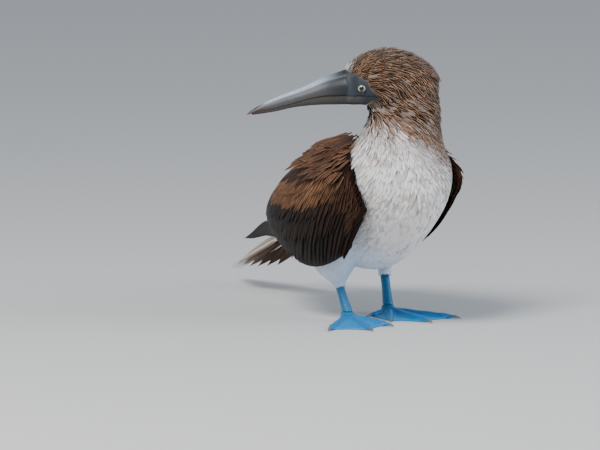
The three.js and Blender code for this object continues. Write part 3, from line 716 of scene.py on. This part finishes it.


# The wings, folded along the sides. A dark bed stands for the arm, hand and down of the folded wing, its
# brown darkened further as painted shade under the feathers, and every feather that shows is a vane of its
# own in its tier, thin, curved and closed.
# Rows hold [y, top height, bottom height, top out, middle out, bottom out, thickness] in mm.
WING_ROWS = np.array([
    [-111, 126, 106, 42, 49, 44, 6],
    [-104, 147, 94, 46, 53.5, 45, 16],
    [-85, 164, 84, 49, 63, 48, 24],
    [-50, 176, 61, 42, 72, 56, 28],
    [-10, 173, 48, 38, 77, 62, 30],
    [30, 166, 48, 34, 78, 64, 30],
    [70, 155, 57, 28, 72, 60, 26],
    [110, 139, 63, 22, 58, 49, 20],
    [150, 118, 62, 18, 44, 38, 12],
    [190, 93, 57, 16, 33, 30, 6],
    [230, 68, 50, 17, 25, 24, 4],
    [262, 48.5, 46, 20, 21, 20.5, 2],
], dtype=float)
WING_KNOTS = WING_ROWS[:, 0]
BED_FRONT, BED_END = -97.0, 126.0
BED_SUNK = 3.4
# How far the round front edge of the wing lies back, in mm, at these shares down from its top.
FRONT_DOWNS = np.array([-0.15, 0.0, 0.15, 0.35, 0.6, 0.8, 1.0])
FRONT_BACK = np.array([44, 38, 25, 9, 0, 8, 30])
TUCK_UP, TUCK_LOW_IN, TUCK_MIDDLE_IN, TUCK_FROM, TUCK_FULL = 21, 12, 2.5, 150, 60


def wing_point(side, y, down, out=0.0):
    """A place on a folded wing: y along the body, down 0 at its top edge to 1 at its lower edge."""
    y = y + np.interp(down, FRONT_DOWNS, FRONT_BACK) * np.clip((-10 - y) / 92, 0, 1)
    _, top_z, bottom_z, top_x, mid_x, bottom_x, _ = np.moveaxis(smooth_rows(WING_ROWS, y, WING_KNOTS), -1, 0)
    tuck = np.clip((TUCK_FROM - y) / (TUCK_FROM - TUCK_FULL), 0, 1) * (side > 0)
    bottom_z = bottom_z + TUCK_UP * tuck * np.clip((top_z - bottom_z - 10) / 60, 0, 1)
    bottom_x = bottom_x - TUCK_LOW_IN * tuck
    mid_x = mid_x - TUCK_MIDDLE_IN * tuck
    control_x = 2 * mid_x - (top_x + bottom_x) / 2
    up = 1 - down
    x = top_x * up * up + 2 * control_x * up * down + bottom_x * down * down
    z = BODY_UP + top_z + (bottom_z - top_z) * down
    slope_x = 2 * up * (control_x - top_x) + 2 * down * (bottom_x - control_x)
    slope_z = bottom_z - top_z
    length = np.hypot(slope_x, slope_z)
    x, z = side * (x - out * slope_z / length), z + out * slope_x / length
    return np.stack(np.broadcast_arrays(x, y, z), -1) * MM + ANKLES


def bed_point(side, u, v):
    y = BED_FRONT + (BED_END - BED_FRONT) * u
    thickness = smooth_rows(WING_ROWS, y, WING_KNOTS)[..., 6] * np.clip((y - BED_FRONT) / 45, 0.02, 1)
    down = 1 - np.abs(1 - 2 * v)
    belly = thickness * np.sin(math.pi * np.clip(down, 0.02, 0.98)) ** 0.6
    return wing_point(side, y, down, -BED_SUNK - np.where(v > 0.5, belly, 0))


def wing_shafts(side, root, tip, bow, low, high, steps, curve=1.0):
    """Shafts over the wing from roots to tips, as [y, down] pairs, bowed sideways, with their heights."""
    share = np.linspace(0, 1, steps)[None, :]
    y = root[:, :1] + (tip[:, :1] - root[:, :1]) * share
    down = root[:, 1:] + (tip[:, 1:] - root[:, 1:]) * share ** curve + bow[:, None] * np.sin(math.pi * share)
    rise = low[:, None] + (high - low)[:, None] * share ** 1.2
    shafts = wing_point(side, y, down, rise)
    back = unit(np.gradient(shafts, axis=1))
    out = wing_point(side, y, down, rise + 1) - shafts
    out = unit(out - back * (out * back).sum(-1, keepdims=True))
    return shafts, out, np.cross(out, back) * side


WING_DARK = srgb(44, 27, 18)
WING_BLACK = srgb(16, 11, 9)
WING_GOLD = srgb(172, 126, 84)
WING_RED = srgb(84, 54, 36)
SHAWL_BROWN = srgb(138, 100, 74)
# Each tier: [name, count, root y, root down, tip y, tip down, half width, root and tip height], with
# pairs for its front and rear ends; then the colours of web and streak at its front and rear ends.
TIERS = [
    ["edge_coverts", 26, (-106, -100), (0.02, 0.84), (-96, -80), (0.32, 1.03), (3.4, 4.4), (-7.0, -0.3),
     (WING_DARK, WING_DARK), (WING_BLACK, WING_BLACK), 0.10],
    ["secondaries", 27, (-99, 96), (0.56, 0.60), (-84, 134), (1.02, 0.88), (6.5, 8.0), (-2.4, 0.2),
     (WING_DARK, WING_BLACK), (WING_BLACK, WING_BLACK), 0.05],
    ["primaries", 7, (72, 112), (0.92, 0.80), (196, 262), (0.94, 0.80), (6.5, 6.5), (-1.2, 0.5),
     (WING_BLACK, WING_BLACK), (WING_BLACK, WING_BLACK), 0.0],
    ["tertials", 7, (30, 100), (0.40, 0.14), (104, 144), (0.86, 0.34), (8, 8), (-0.6, 1.8),
     (WING_DARK, WING_DARK), (WING_BLACK, WING_BLACK), 0.05],
    ["greater_coverts", 36, (-101, 88), (0.44, 0.40), (-88, 122), (0.80, 0.74), (4.8, 7.5), (-1.5, 1.3),
     (WING_DARK, WING_DARK), (WING_BLACK, WING_BLACK), 0.08],
    ["middle_coverts", 46, (-102, 84), (0.33, 0.29), (-91, 112), (0.64, 0.60), (3.6, 5.5), (-1.1, 1.8),
     (WING_RED, WING_DARK), (WING_DARK, WING_BLACK), 0.10],
    ["median_coverts", 56, (-102, 80), (0.24, 0.20), (-93, 104), (0.55, 0.50), (3.2, 4.6), (-0.8, 2.2),
     (WING_RED, WING_GOLD * 0.8), (WING_DARK, WING_RED), 0.12],
    ["lesser_coverts", 60, (-103, 74), (0.15, 0.11), (-94, 92), (0.45, 0.41), (3.0, 4.2), (-0.4, 2.5),
     (WING_RED, WING_GOLD), (WING_DARK, WING_RED), 0.14],
    # The least coverts, right under the shawl of scapulars, are darker than the lesser coverts: partly their
    # own colour, partly painted shadow of the shawl.
    ["least_coverts", 60, (-103, 70), (0.05, 0.01), (-94, 84), (0.33, 0.29), (2.8, 3.8), (-0.2, 2.6),
     (WING_DARK, WING_RED), (WING_BLACK, WING_DARK), 0.16],
    ["front_coverts", 22, (-103, -99), (0.14, 0.66), (-92, -84), (0.34, 0.90), (3.0, 3.6), (-2.4, 1.7),
     (WING_RED, WING_RED), (WING_DARK, WING_DARK), 0.10],
    ["lower_scapulars", 60, (-102, 82), (0.08, -0.05), (-84, 124), (0.37, 0.05), (3.2, 5.0), (-4.0, 7.0),
     (SHAWL_BROWN, SHAWL_BROWN), (WING_RED, WING_RED), 0.30],
    ["upper_scapulars", 60, (-108, 62), (-0.02, -0.12), (-88, 96), (0.20, -0.02), (3.0, 4.6), (-4.0, 6.5),
     (SHAWL_BROWN, SHAWL_BROWN), (WING_RED, WING_RED), 0.30],
]
VANE_STEPS = 11
BODY_OF_VANE = np.array([0.30, 0.62, 0.84, 0.96, 1.0, 1.0, 0.98, 0.92, 0.80, 0.58, 0.20])
POINTED_VANE = np.array([0.30, 0.60, 0.82, 0.95, 1.0, 0.97, 0.88, 0.74, 0.55, 0.32, 0.05])
VANE_RING = vane_ring(7, 0.11)
VANE_THICKNESS = 0.5 * MM
VANE_ROLL = -3


def vane_material(name, roughness):
    """Long feathers: web tint with a fine light shaft, oblique barb lines, and a paler worn tip."""
    # Vane roots are darkened to 0.6: painted shade under the overlapping vanes.
    made = plume_material(name, roughness, 0.02, 0.6)
    tree = made.node_tree
    links = tree.links
    shader = tree.nodes["Principled BSDF"]
    lie = next(n for n in tree.nodes if n.type == "ATTRIBUTE" and n.attribute_name == "Lie")
    parts = add_node(tree, "SeparateColor")
    links.new(lie.outputs["Color"], parts.inputs["Color"])
    slant = add_node(tree, "Math", {1: 0.35}, operation="MULTIPLY_ADD")
    links.new(parts.outputs["Red"], slant.inputs[0])
    links.new(parts.outputs["Green"], slant.inputs[2])
    lines = add_node(tree, "Math", {1: 420}, operation="MULTIPLY")
    links.new(slant.outputs["Value"], lines.inputs[0])
    wave = add_node(tree, "Math", operation="SINE")
    links.new(lines.outputs["Value"], wave.inputs[0])
    bump = next(n for n in tree.nodes if n.type == "BUMP")
    fine = add_node(tree, "Bump", {"Strength": 0.2, "Distance": 0.0002})
    links.new(wave.outputs["Value"], fine.inputs["Height"])
    links.new(bump.outputs["Normal"], fine.inputs["Normal"])
    links.new(fine.outputs["Normal"], shader.inputs["Normal"])
    quill = add_node(tree, "MapRange", {"From Min": 0.90, "From Max": 0.97, "To Max": 0.4})
    links.new(parts.outputs["Red"], quill.inputs["Value"])
    lit = add_node(tree, "Mix", {7: (*WING_RED, 1)}, data_type="RGBA")
    links.new(quill.outputs["Result"], lit.inputs["Factor"])
    links.new(shader.inputs["Base Color"].links[0].from_socket, lit.inputs[6])
    links.new(lit.outputs[2], shader.inputs["Base Color"])
    return made


# The bed is the wing's dark brown at 0.7: its own colour, made darker as painted shade under the vanes.
bed_material, _, _ = surface_material("wing_down_dark_and_shaded", WING_DARK * 0.7, 0.9)
wing_vane = vane_material("wing_vane", 0.62)
for side, name in ((1, "left"), (-1, "right")):
    bed_mesh = bmesh.new()
    loft(bed_mesh, 90, 80, lambda u, v: bed_point(side, u, v), (0.01, 0.01, 0.98, 0.98))
    bed = mesh_object(f"{name}_wing_bed", bed_mesh, bed_material)
    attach(bed, "root")
    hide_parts(f"{name}_wing")
    for tier, row in enumerate(TIERS):
        label, count, root_y, root_down, tip_y, tip_down, width, height, webs, streaks, loose = row
        draws = np.random.default_rng(100 * tier + side + 5)
        t = (np.arange(count) + 0.5) / count

        def spread(pair, wobble):
            return pair[0] + (pair[1] - pair[0]) * t + draws.normal(0, wobble, count)

        gap = abs(root_y[1] - root_y[0]) / count
        root = np.stack([spread(root_y, 0.12 * gap), spread(root_down, 0.008 + 0.05 * loose)], 1)
        tip = np.stack([spread(tip_y, (0.1 + loose) * gap), spread(tip_down, 0.006 + 0.10 * loose)], 1)
        low = np.full(count, height[0])
        high = height[1] + draws.normal(0, 0.15 + 2.2 * loose ** 2, count)
        bow = draws.normal(0, 0.01 + 0.03 * loose, count)
        shafts, outs, sides = wing_shafts(side, root, tip, bow, low, high, VANE_STEPS)
        roll = np.radians(VANE_ROLL + draws.normal(0, 4 * loose, count))[:, None, None]
        sides, outs = sides * np.cos(roll) + outs * np.sin(roll), outs * np.cos(roll) - sides * np.sin(roll)
        from_front = smooth_step(0, 0.4, t)
        web = mixed(webs[0], webs[1], from_front) * draws.normal(1, 0.10, (count, 1))
        streak = mixed(streaks[0], streaks[1], from_front) * draws.normal(1, 0.10, (count, 1))
        along = (root[:, 0] - WING_KNOTS[0]) / (WING_KNOTS[-1] - WING_KNOTS[0])
        bake = np.stack([0.02 + 0.96 * along, 0.04 + 0.9 * np.clip(root[:, 1], 0, 1)], 1)
        profile = POINTED_VANE if label == "primaries" else BODY_OF_VANE
        piece = plumes(f"{name}_{label}", shafts, outs, sides, spread(width, 0.4) * MM, profile,
                       np.zeros((count, VANE_STEPS)), VANE_RING, web, streak, bake, wing_vane,
                       thickness=VANE_THICKNESS, arc=0.5, ragged=0.25 * loose, seed=tier + 10)
        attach(piece, "root")


# The tail: twelve long pointed feathers in a low roof, the middle pair longest and on top, with white
# coverts above and below its root.
TAIL_START, TAIL_END, TAIL_TOP, TAIL_LOW, TAIL_ROOF = 149, 335, 74, 11, 0.7
TAIL_PAIRS = 6
TAIL_PALE = srgb(206, 192, 172)
TAIL_BROWN = srgb(88, 64, 46)
TAIL_WHITE = srgb(214, 208, 202)


def tail_point(x, y, up=0.0):
    fall = (TAIL_TOP - TAIL_LOW) * (y - TAIL_START) / (TAIL_END - TAIL_START)
    z = BODY_UP + TAIL_TOP - fall - TAIL_ROOF * np.abs(x) + up
    return np.stack(np.broadcast_arrays(x, y, z), -1) * MM + ANKLES


def tail_vanes(name, roots, tips, ups, widths, web, streak, profile, loose, seed):
    """Vanes on the roof of the tail from roots to tips, given as [x, y], at their heights over it."""
    share = np.linspace(0, 1, VANE_STEPS)[None, :]
    x = roots[:, :1] + (tips[:, :1] - roots[:, :1]) * share
    y = roots[:, 1:] + (tips[:, 1:] - roots[:, 1:]) * share
    shafts = tail_point(x, y, ups[:, :1] + (ups[:, 1:] - ups[:, :1]) * share)
    back = unit(np.gradient(shafts, axis=1))
    slope = -TAIL_ROOF * np.sign(x) * (np.abs(x) > 0.5)
    across = np.stack([np.ones_like(x), 0 * x, slope], -1)
    across = unit(across - back * (across * back).sum(-1, keepdims=True))
    outs = np.cross(across, back)
    bake = np.stack([0.02 + 0.96 * (roots[:, 1] - 100) / 235, 0.5 + roots[:, 0] / 60], 1)
    piece = plumes(name, shafts, outs, across, widths, profile, np.zeros(shafts.shape[:2]), VANE_RING,
                   web, streak, bake, tail_vane, thickness=VANE_THICKNESS, arc=0.4, ragged=loose, seed=seed)
    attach(piece, "root")
    return piece


tail_vane = vane_material("tail_vane", 0.68)
pair = np.repeat(np.arange(TAIL_PAIRS), 2).astype(float)
hand = np.tile([1.0, -1.0], TAIL_PAIRS)
roots = np.stack([hand * (1.2 + 1.3 * pair), 158 + 0 * pair], 1)
tips = np.stack([hand * (2.2 + 3.5 * pair), TAIL_END - 6 * pair - 1.4 * pair ** 2 - 1.5 * (hand > 0)], 1)
ups = np.stack([3.0 - 0.9 * pair + 0.25 * hand, 0.8 - 0.9 * pair + 0.2 * hand], 1)
tail_web = mixed(TAIL_PALE, TAIL_BROWN, pair / 3)
tail_streak = mixed(TAIL_WHITE, TAIL_BROWN * 0.7, pair / 2.2)
rectrices = tail_vanes("tail_feathers", roots, tips, ups, (6.6 - 0.15 * pair) * MM, tail_web, tail_streak,
                       POINTED_VANE, 0.0, 41)
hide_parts("tail")
draws = np.random.default_rng(43)
COVERTS = 34
for label, level in (("upper", 1), ("under", -1)):
    x = draws.uniform(-11, 11, COVERTS)
    y = draws.uniform(132, 176, COVERTS)
    round_root = np.sqrt(np.clip(1 - (x / 13) ** 2, 0.1, 1))
    up_root = level * (6.0 - (y - 132) * 0.05) * round_root * (1 if level > 0 else 1.6)
    up_tip = level * (2.6 if level > 0 else 6.5) * np.ones(COVERTS)
    tips = np.stack([x * 1.25, y + draws.uniform(34, 52, COVERTS)], 1)
    widths = draws.uniform(4.2, 5.6, COVERTS) * MM
    browner = (draws.uniform(0, 1, COVERTS) > 0.75) * 0.6
    tail_vanes(f"{label}_tail_coverts", np.stack([x, y], 1), tips, np.stack([up_root, up_tip], 1), widths,
               np.tile(TAIL_WHITE, (COVERTS, 1)), mixed(TAIL_WHITE, TAIL_BROWN, browner), BODY_OF_VANE,
               0.12, 50 + level)


# The bill: a long straight cone of horn in two halves, with a groove down each side of the upper
# one, no outer nostrils, and a slightly drooped tip. Its rows are given with the skin.
BILL_ROOT, BILL_END, LOWER_SHORTER, BITE_GAP = 61.4, 160.0, 5.0, 0.3
GROOVE_AT, GROOVE_SPREAD, GROOVE_DEPTH = math.radians(52), math.radians(9), 0.11
BILL_BLUE = srgb(84, 90, 100)
# Pale blue grey for the top of the upper bill: a painted highlight, the sky reflected on its broad top.
BILL_TOP_HIGHLIGHT = srgb(166, 181, 198)
BILL_OLIVE = srgb(66, 60, 53)
BILL_HORN = srgb(58, 40, 36)


def bill_point(upper, u, v):
    forward = BILL_ROOT + (BILL_END - (0 if upper else LOWER_SHORTER) - BILL_ROOT) * u
    angle = (v * 2 - 1) * math.pi
    _, top, mouth, bottom, half_width = np.moveaxis(smooth_rows(BILL_ROWS, forward, BILL_ROWS[:, 0]), -1, 0)
    line = mouth + (BITE_GAP / 2 if upper else -BITE_GAP / 2)
    rise = (top if upper else bottom) - line
    lift = np.maximum(np.cos(angle), 0) ** 0.85
    groove = GROOVE_DEPTH * np.exp(-((np.abs(angle) - GROOVE_AT) / GROOVE_SPREAD) ** 2) * (1 - u ** 3)
    left = half_width * np.sin(angle) * (1 - groove if upper else 0.94)
    return faced(HEAD_YAW, NECK_SWAY, forward, left, line + rise * lift)


def bill_colours(points, upper):
    forward, left, height = head_coordinates(points)
    along = (forward - BILL_ROOT) / (BILL_END - BILL_ROOT)
    _, top, mouth, bottom, half_width = np.moveaxis(smooth_rows(BILL_ROWS, forward, BILL_ROWS[:, 0]), -1, 0)
    if upper:
        up = np.clip((height - mouth) / (top - mouth), 0, 1)
        tint = mixed(BILL_BLUE, BILL_OLIVE * 0.8, (1 - up) * 0.9)
        # The top of the upper bill turns pale: painted highlight of the sky's reflection.
        tint = mixed(tint, BILL_TOP_HIGHLIGHT, smooth_step(0.66, 0.92, up))
    else:
        deep = smooth_step(0.4, 1.0, (mouth - height) / (mouth - bottom))
        tint = mixed(BILL_OLIVE, BILL_BLUE * 0.7, deep * 0.8)
    root = 1 - smooth_step(0.0, 0.36, along)
    tint = mixed(tint, FACE_SLATE * 0.5, root * (1 if upper else 0.35))
    return mixed(tint, BILL_HORN, smooth_step(0.76, 0.92, along))


bill_material, bill_tree, bill_shader = surface_material("bill_horn", BILL_BLUE, 0.45)
links = bill_tree.links
tint = add_node(bill_tree, "Attribute", attribute_name="Tint")
coordinates = add_node(bill_tree, "TexCoord")
turned = add_node(bill_tree, "Mapping", {"Rotation": (0, 0, math.radians(HEAD_YAW)), "Scale": (1, 0.08, 1)})
links.new(coordinates.outputs["Object"], turned.inputs["Vector"])
grain = add_node(bill_tree, "TexNoise", {"Scale": 700, "Detail": 5})
links.new(turned.outputs["Vector"], grain.inputs["Vector"])
streaked = add_node(bill_tree, "Mix", {"Factor": 0.45}, data_type="RGBA", blend_type="OVERLAY")
links.new(tint.outputs["Color"], streaked.inputs[6])
links.new(grain.outputs["Fac"], streaked.inputs[7])
links.new(streaked.outputs[2], bill_shader.inputs["Base Color"])
bump = add_node(bill_tree, "Bump", {"Strength": 0.35, "Distance": 0.0004})
links.new(grain.outputs["Fac"], bump.inputs["Height"])
links.new(bump.outputs["Normal"], bill_shader.inputs["Normal"])
for upper, name in ((True, "upper_bill"), (False, "lower_bill")):
    bill_mesh = bmesh.new()
    loft(bill_mesh, 130, 72, lambda u, v: bill_point(upper, u, v), (0.01, 0.01, 0.98, 0.98))
    bill = mesh_object(f"{name}_horn", bill_mesh, bill_material)
    paint(bill, "Tint", bill_colours(np.array([v.co for v in bill.data.vertices]), upper))
    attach(bill, "root")
    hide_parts(name)


# The eyes: a wet ball with a pale yellow iris round a black pupil, sunk in a ring of dark lid.
EYE_TURN = np.array([0.34, 0.93, 0.10])
PUPIL_EDGE, IRIS_EDGE = 0.922, 0.82
IRIS_CREAM = srgb(206, 206, 176)
LID_SLATE = srgb(40, 47, 55)
LID_LONG, LID_HIGH, LID_THICK, LID_BROAD = 4.75, 4.25, 0.75, 1.15


def eye_axes(side):
    """Outward, towards the bill and up, as the eye on that side looks."""
    outward = faced(HEAD_YAW, 0, EYE_TURN[0], side * EYE_TURN[1], EYE_TURN[2]) - faced(HEAD_YAW, 0, 0, 0, 0)
    outward = unit(outward)
    ahead = faced(HEAD_YAW, 0, 1.0, 0.0, 0.0) - faced(HEAD_YAW, 0, 0, 0, 0)
    ahead = unit(ahead - outward * np.dot(ahead, outward))
    return outward, ahead, np.cross(outward, ahead) * side


for side, name in ((1, "left"), (-1, "right")):
    low, high = (np.array(corner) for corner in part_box(f"{name}_eye"))
    centre, radius = (low + high) / 2, (high - low).max() / 2
    outward, ahead, upward = eye_axes(side)
    eye_material, eye_tree, eye_shader = surface_material(f"{name}_eyeball", (0.01, 0.01, 0.01), 0.12)
    eye_shader.inputs["Coat Weight"].default_value = 0.5
    eye_shader.inputs["Coat Roughness"].default_value = 0.3
    links = eye_tree.links
    coordinates = add_node(eye_tree, "TexCoord")
    moved = add_node(eye_tree, "VectorMath", {1: centre}, operation="SUBTRACT")
    links.new(coordinates.outputs["Object"], moved.inputs[0])
    turned = add_node(eye_tree, "VectorMath", {1: outward / radius}, operation="DOT_PRODUCT")
    links.new(moved.outputs["Vector"], turned.inputs[0])
    rings = add_node(eye_tree, "ValToRGB")
    rings.color_ramp.interpolation = "LINEAR"
    rings.color_ramp.elements[0].position = IRIS_EDGE - 0.02
    rings.color_ramp.elements[0].color = (0.012, 0.014, 0.016, 1)
    rings.color_ramp.elements[1].position = PUPIL_EDGE + 0.006
    rings.color_ramp.elements[1].color = (0.004, 0.004, 0.005, 1)
    for place, colour in ((IRIS_EDGE + 0.01, IRIS_CREAM * 0.75), (0.5 * (IRIS_EDGE + PUPIL_EDGE), IRIS_CREAM),
                          (PUPIL_EDGE - 0.008, IRIS_CREAM * 0.8)):
        stop = rings.color_ramp.elements.new(place)
        stop.color = (*colour, 1)
    links.new(turned.outputs["Value"], rings.inputs["Fac"])
    links.new(rings.outputs["Color"], eye_shader.inputs["Base Color"])
    eye_mesh = bmesh.new()
    bmesh.ops.create_uvsphere(eye_mesh, u_segments=48, v_segments=32, radius=radius)
    bmesh.ops.translate(eye_mesh, vec=centre, verts=eye_mesh.verts)
    eye = mesh_object(f"{name}_eyeball", eye_mesh, eye_material)
    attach(eye, "root")
    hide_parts(f"{name}_eye")

    def lid_point(u, v):
        around, turn = u * 2 * math.pi, v * 2 * math.pi
        fold = 1 + 0.08 * np.sin(7 * around) * np.cos(turn)
        reach = 1 + LID_BROAD * fold * np.cos(turn) / LID_LONG
        high = LID_HIGH * (1 - 0.2 * np.maximum(np.sin(around), 0))
        flat = ahead * (LID_LONG * np.cos(around) * reach)[:, None]
        flat = flat + upward * (high * np.sin(around) * reach)[:, None]
        seat = np.sqrt(np.maximum((radius / MM) ** 2 - (flat ** 2).sum(-1), 4.0))
        return centre + (flat + outward * (seat + LID_THICK * (0.35 + np.sin(turn)))[:, None]) * MM

    lid_mesh = bmesh.new()
    loft(lid_mesh, 96, 20, lid_point, (0.01, 0.01, 0.98, 0.98))
    lid = mesh_object(f"{name}_eyelid", lid_mesh, skin_material)
    paint(lid, "Tint", LID_SLATE)
    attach(lid, "root")


# The legs and feet: bright blue skin over bone, with plates down the shanks and along the toes, and
# thin webs between all four toes. Each starts from the solid, smoothed, with the plates raised on it.
TOES = {
    "hallux": (-78, 25, 4.2),
    "inner_toe": (-33, 56, 4.8),
    "middle_toe": (-4, 76, 5.2),
    "outer_toe": (27, 74, 4.8),
}
FOOT_TURN = 11
SCUTE_LENGTH, SCUTE_HEIGHT = 2.6, 0.32
WEB_SKY = srgb(20, 142, 208)
WEB_DEEP = srgb(8, 104, 168)


def softened(name, nodes_used, voxel, rounds, material):
    """A smooth copy of solids: merged, remeshed as one closed surface and relaxed."""
    copy = bmesh.new()
    for node in nodes_used:
        copy.from_mesh(bpy.data.objects[node].data)
    bmesh.ops.remove_doubles(copy, verts=copy.verts, dist=1e-6)
    piece = mesh_object(name, copy, material)
    remesh = piece.modifiers.new("one_surface", "REMESH")
    remesh.mode = "VOXEL"
    remesh.voxel_size = voxel
    remeshed = bpy.data.meshes.new_from_object(piece.evaluated_get(bpy.context.evaluated_depsgraph_get()))
    piece.modifiers.clear()
    relaxed = bmesh.new()
    relaxed.from_mesh(remeshed)
    for _ in range(rounds):
        bmesh.ops.smooth_vert(relaxed, verts=relaxed.verts, factor=0.5,
                              use_axis_x=True, use_axis_y=True, use_axis_z=True)
    relaxed.to_mesh(piece.data)
    relaxed.free()
    piece.data.polygons.foreach_set("use_smooth", [True] * len(piece.data.polygons))
    return piece


blue_material, blue_tree, blue_shader = surface_material("blue_leg_skin", WEB_SKY, 0.42)
links = blue_tree.links
tint = add_node(blue_tree, "Attribute", attribute_name="Tint")
coordinates = add_node(blue_tree, "TexCoord")
scales = add_node(blue_tree, "TexVoronoi", {"Scale": 620}, feature="DISTANCE_TO_EDGE")
links.new(coordinates.outputs["Object"], scales.inputs["Vector"])
# Scale edges are darkened: painted shade in the creases between the scales.
crease = add_node(blue_tree, "MapRange", {"From Max": 0.16, "To Min": 0.72})
links.new(scales.outputs["Distance"], crease.inputs["Value"])
scale_crease_shade = add_node(blue_tree, "Mix", {"Factor": 0.8}, data_type="RGBA", blend_type="MULTIPLY")
links.new(tint.outputs["Color"], scale_crease_shade.inputs[6])
links.new(crease.outputs["Result"], scale_crease_shade.inputs[7])
links.new(scale_crease_shade.outputs[2], blue_shader.inputs["Base Color"])
bump = add_node(blue_tree, "Bump", {"Strength": 0.5, "Distance": 0.0003})
links.new(crease.outputs["Result"], bump.inputs["Height"])
links.new(bump.outputs["Normal"], blue_shader.inputs["Normal"])
claw_material, _, _ = surface_material("claw_horn", srgb(92, 112, 126), 0.4)


def toe_shares(points, side):
    """For places on a foot: how far along the nearest toe, and how far aside of it, in mm."""
    x, y, _ = np.moveaxis((points - ANKLES) / MM, -1, 0)
    x, y = x - side * FOOT_OUT, y - side * FOOT_STAGGER
    best_along, best_aside = np.zeros(len(x)), np.full(len(x), 1e3)
    for turn, length, radius in TOES.values():
        heading = math.radians(side * (FOOT_TURN + turn))
        along = x * math.sin(heading) - y * math.cos(heading)
        aside = np.abs(x * math.cos(heading) + y * math.sin(heading)) / radius
        aside = np.where((along > 0) & (along < length), aside, 1e3)
        nearer = aside < best_aside
        best_along, best_aside = np.where(nearer, along, best_along), np.where(nearer, aside, best_aside)
    return best_along, best_aside


def raise_plates(piece, heights):
    """Moves a piece's points out along their normals by heights in mm, and never below the floor."""
    points = np.array([v.co for v in piece.data.vertices])
    normals = np.array([v.normal for v in piece.data.vertices])
    moved = points + normals * (heights * MM)[:, None]
    moved[:, 2] = np.maximum(moved[:, 2], np.minimum(points[:, 2], 0.2 * MM))
    piece.data.vertices.foreach_set("co", moved.ravel())
    piece.data.update()


for side, name in ((1, "left"), (-1, "right")):
    foot = softened(f"{name}_webbed_foot", [f"{name}_foot"], 0.0008, 5, blue_material)
    points = np.array([v.co for v in foot.data.vertices])
    normals = np.array([v.normal for v in foot.data.vertices])
    along, aside = toe_shares(points, side)
    on_toe = (1 - smooth_step(0.55, 1.05, aside)) * (normals[:, 2] > 0.1)
    ridge = np.abs(np.sin(math.pi * along / SCUTE_LENGTH)) ** 0.5
    folds = np.sin(points[:, 0] / MM * 1.9 + np.sin(points[:, 1] / MM * 0.7)) * (normals[:, 2] > 0.3) * 0.07
    raise_plates(foot, on_toe * SCUTE_HEIGHT * ridge + (1 - on_toe) * folds)
    # Toes are a deeper blue than the webs, and deeper still between their plates: painted shade in the
    # grooves.
    toe_blue_and_groove_shade = mixed(WEB_SKY, WEB_DEEP, on_toe * (0.5 + 0.5 * (1 - ridge)))
    toe_blue_and_groove_shade = mixed(toe_blue_and_groove_shade, SHANK_TEAL, 1 - smooth_step(2, 16, np.linalg.norm((points - ANKLES)[:, :2] / MM
                                     - side * np.array([FOOT_OUT, FOOT_STAGGER]), axis=1)))
    paint(foot, "Tint", toe_blue_and_groove_shade)
    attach(foot, "root")
    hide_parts(f"{name}_foot")
    shank = softened(f"{name}_plated_shank", [f"{name}_shank"], 0.0006, 3, blue_material)
    points = np.array([v.co for v in shank.data.vertices])
    normals = np.array([v.normal for v in shank.data.vertices])
    ridge = np.abs(np.sin(math.pi * points[:, 2] / MM / (SCUTE_LENGTH * 1.15))) ** 0.5
    ahead = smooth_step(-0.1, 0.5, -normals[:, 1])
    raise_plates(shank, ahead * SCUTE_HEIGHT * ridge)
    paint(shank, "Tint", mixed(SHANK_TEAL, WEB_DEEP, ahead * ridge * 0.6))
    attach(shank, "root")
    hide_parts(f"{name}_shank")
    for toe in TOES:
        claw = softened(f"{name}_{toe}_nail", [f"{name}_{toe}_claw"], 0.0003, 3, claw_material)
        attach(claw, "root")
        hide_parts(f"{name}_{toe}_claw")
